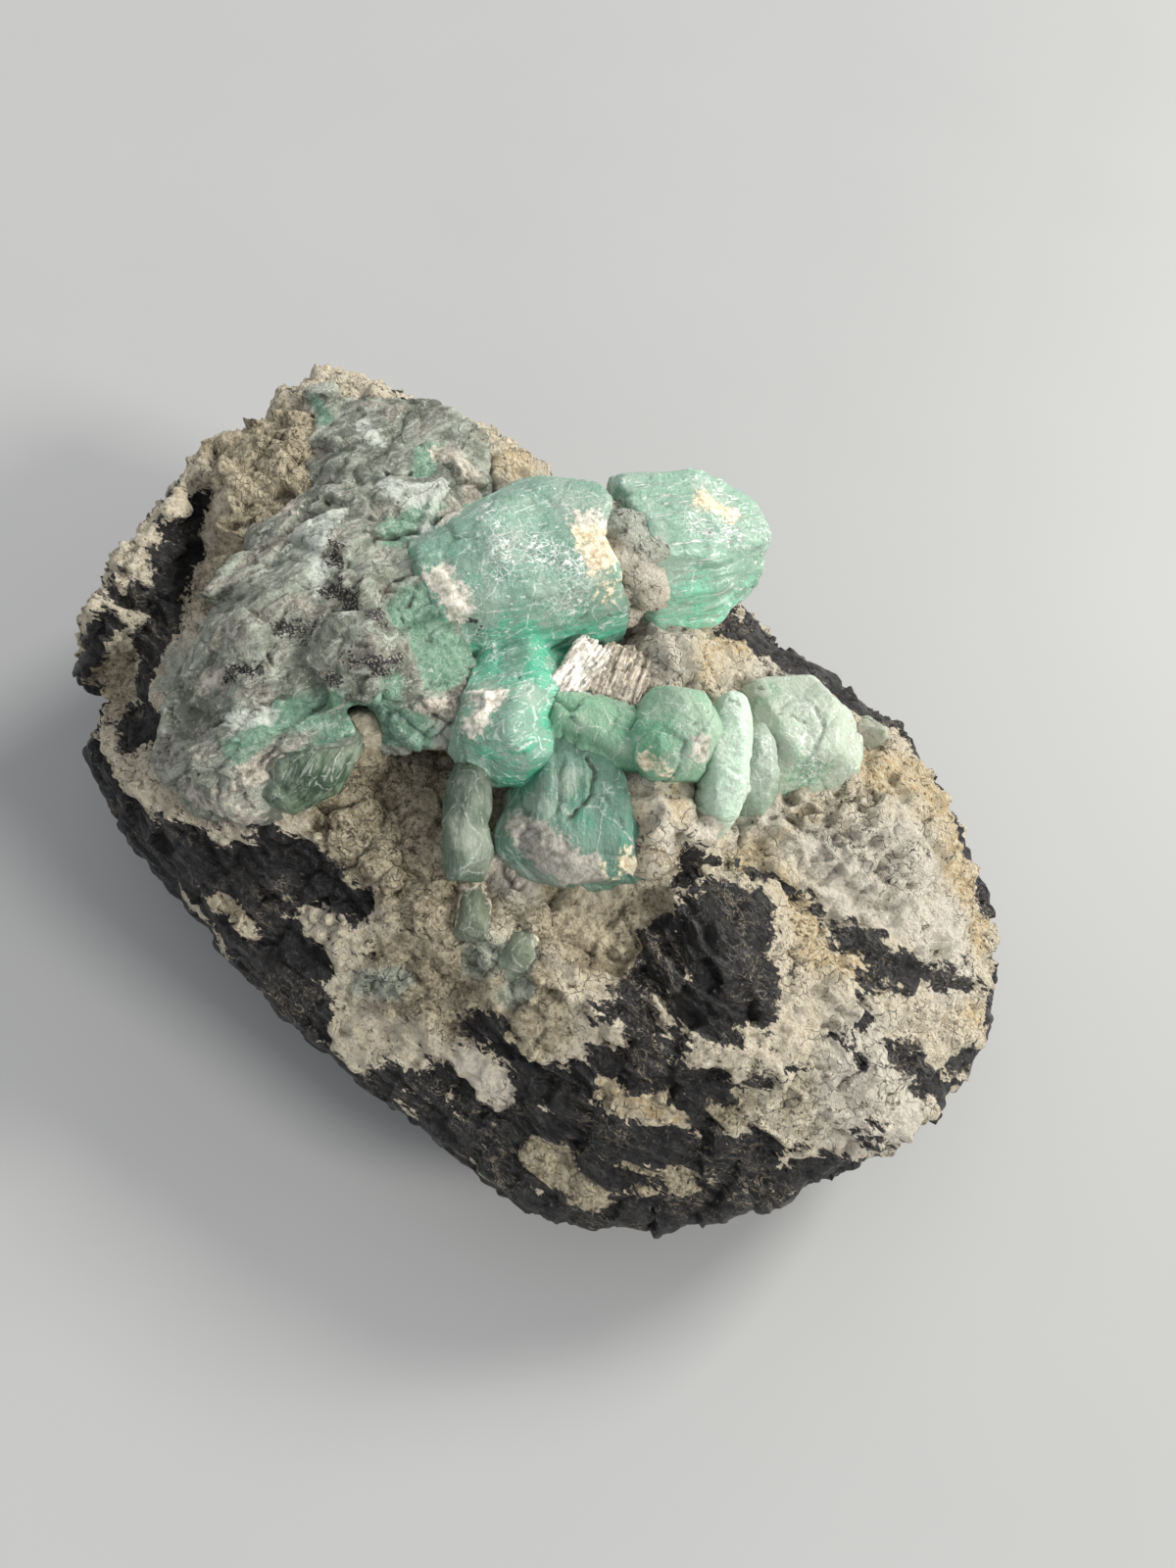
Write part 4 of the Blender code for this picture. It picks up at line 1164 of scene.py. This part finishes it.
def make_mass(rock):
    piece = dense_copy("beryl_mass", "beryl_mass_pale", MASS_VOXEL)
    even_out(piece, times=3, strength=0.5)
    points, normals = points_of(piece), normals_of(piece)
    relief = fractured(points, 13, 0.20, 0.7, 0.7, 203, STREAKS, 2.0)
    relief += fractured(points, 5, 0.22, 0.25, 0.25, 205, STREAKS, 1.6)
    relief += 0.5 * grains(stretched(points, STREAKS, 2.5), size=6, layers=3, seed=207)
    flat = faceted(points + normals * relief[:, None], normals, count=260, width=11.0, depth=1.3, seed=213)
    flat = faceted(flat, normals, count=500, width=5.5, depth=0.6, seed=215)
    fine = 0.12 * grains(points, size=2.4, layers=3, seed=217)
    flat += normals * (fine + sculpted(points, "beryl_mass"))[:, None]
    moved, gaps = grown_together(points, flat, "beryl_mass")
    place_points(piece, pushed(moved, "beryl_mass"))
    crystal_masks(piece, "beryl_mass", rock, points, gaps)
    return finished(piece, MASS_TRIANGLES)


def make_mica(node, axis, seed):
    """A book of mica: thin sheets on edge, each torn off at its own height."""
    piece = dense_copy(node, node.replace("mica_book", "mica_plates"), MICA_VOXEL)
    points, normals = points_of(piece), normals_of(piece)
    across = np.array(Vector(axis).normalized().cross(Vector((0, 0, 1))).normalized())
    sheet = points @ across / SHEET_THICKNESS + 0.5 * grains(stretched(points, axis, 4), 4, 4, seed)
    steps = scatter(np.stack([np.floor(sheet)] * 3, 1).astype(np.int64), seed)
    torn = fractured(points, 4, 0.30, 0.5, 0.3, seed + 5, axis, 1.6) + 0.4 * grains(points, 3, 3, seed + 9)
    moved, gaps = grown_together(points, points + normals * (0.8 * (steps - 0.6) + torn)[:, None], node)
    place_points(piece, moved)
    # Mask of the painted shade where the book comes close to a crystal.
    write_mask(piece, "contact_shade", CONTACT_SHADE_REACH - gaps)
    return finished(piece, MICA_TRIANGLES)


def dress(piece, node, material):
    piece.data.materials.append(material)
    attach(piece, "root")
    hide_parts(node)


def build_specimen():
    rock_tree = tree_of("matrix")
    dress(make_rock(), "matrix", rock_material())
    dress(make_mass(rock_tree), "beryl_mass", mass_material())
    for index, (node, (axis, *shape)) in enumerate(CRYSTALS.items()):
        slot, *look = LOOKS[node]
        piece = make_crystal(node, rock_tree, CRYSTAL_SEED + SEED_STEP * index, axis, *shape)
        dress(piece, node, beryl_material(node.replace("crystal", "green"), axis, *look))
    for node, (name, axis, seed, *tones) in MICA_BOOKS.items():
        dress(make_mica(node, axis, seed), node, mica_material(name, axis, tones))


# ---------- stage ----------

def make_floor():
    bpy.ops.mesh.primitive_plane_add(size=FLOOR_SIZE, location=(0, 0, 0))
    floor = bpy.context.object
    floor.name = "pale_floor"
    m = Maker("pale_floor")
    cloudy = m.speckle(120, 3, 0.5)
    floor.data.materials.append(m.finish(m.blend(cloudy, *FLOOR_GREY), 0.6, m.bump(cloudy, 0.01, 0.1)))


def add_lamp(name, place, size, energy, colour):
    lamp = bpy.data.lights.new(name, "AREA")
    lamp.shape, lamp.size, lamp.size_y = "RECTANGLE", size[0], size[1]
    lamp.energy, lamp.color = energy, colour
    holder = bpy.data.objects.new(name, lamp)
    holder.location = place
    holder.rotation_euler = (Vector(LIGHT_AIM) - Vector(place)).to_track_quat("-Z", "Y").to_euler()
    bpy.context.scene.collection.objects.link(holder)


def light_scene():
    world = bpy.data.worlds.new("soft_daylight")
    world.use_nodes = True
    backdrop = world.node_tree.nodes["Background"]
    backdrop.inputs["Color"].default_value = DAYLIGHT_COLOUR
    backdrop.inputs["Strength"].default_value = DAYLIGHT_STRENGTH
    bpy.context.scene.world = world
    for name, settings in LAMPS.items():
        add_lamp(name, *settings)
    bpy.context.scene.view_settings.view_transform = "Standard"


def aim_camera():
    azimuth, elevation, roll = map(math.radians, (CAMERA_AZIMUTH, CAMERA_ELEVATION, CAMERA_ROLL))
    back = Vector((math.sin(azimuth) * math.cos(elevation), -math.cos(azimuth) * math.cos(elevation),
                   math.sin(elevation)))
    level = Vector((math.cos(azimuth), math.sin(azimuth), 0))
    upright = back.cross(level)
    right = level * math.cos(roll) + upright * math.sin(roll)
    up = upright * math.cos(roll) - level * math.sin(roll)
    camera = bpy.data.objects.new("camera", bpy.data.cameras.new("camera"))
    camera.data.lens, camera.data.sensor_width = CAMERA_LENS, CAMERA_SENSOR
    place = Vector(CAMERA_PLACE) * MM
    camera.matrix_world = Matrix((
        (right.x, up.x, back.x, place.x), (right.y, up.y, back.y, place.y),
        (right.z, up.z, back.z, place.z), (0, 0, 0, 1)))
    bpy.context.scene.collection.objects.link(camera)
    bpy.context.scene.camera = camera


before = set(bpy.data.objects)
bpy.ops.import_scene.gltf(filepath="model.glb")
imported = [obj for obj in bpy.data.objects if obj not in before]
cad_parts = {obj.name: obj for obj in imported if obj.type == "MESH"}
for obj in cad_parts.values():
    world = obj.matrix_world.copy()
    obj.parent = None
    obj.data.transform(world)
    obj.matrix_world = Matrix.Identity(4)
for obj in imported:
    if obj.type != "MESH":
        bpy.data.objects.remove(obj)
PART_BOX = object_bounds()
build_specimen()
make_floor()
light_scene()
aim_camera()
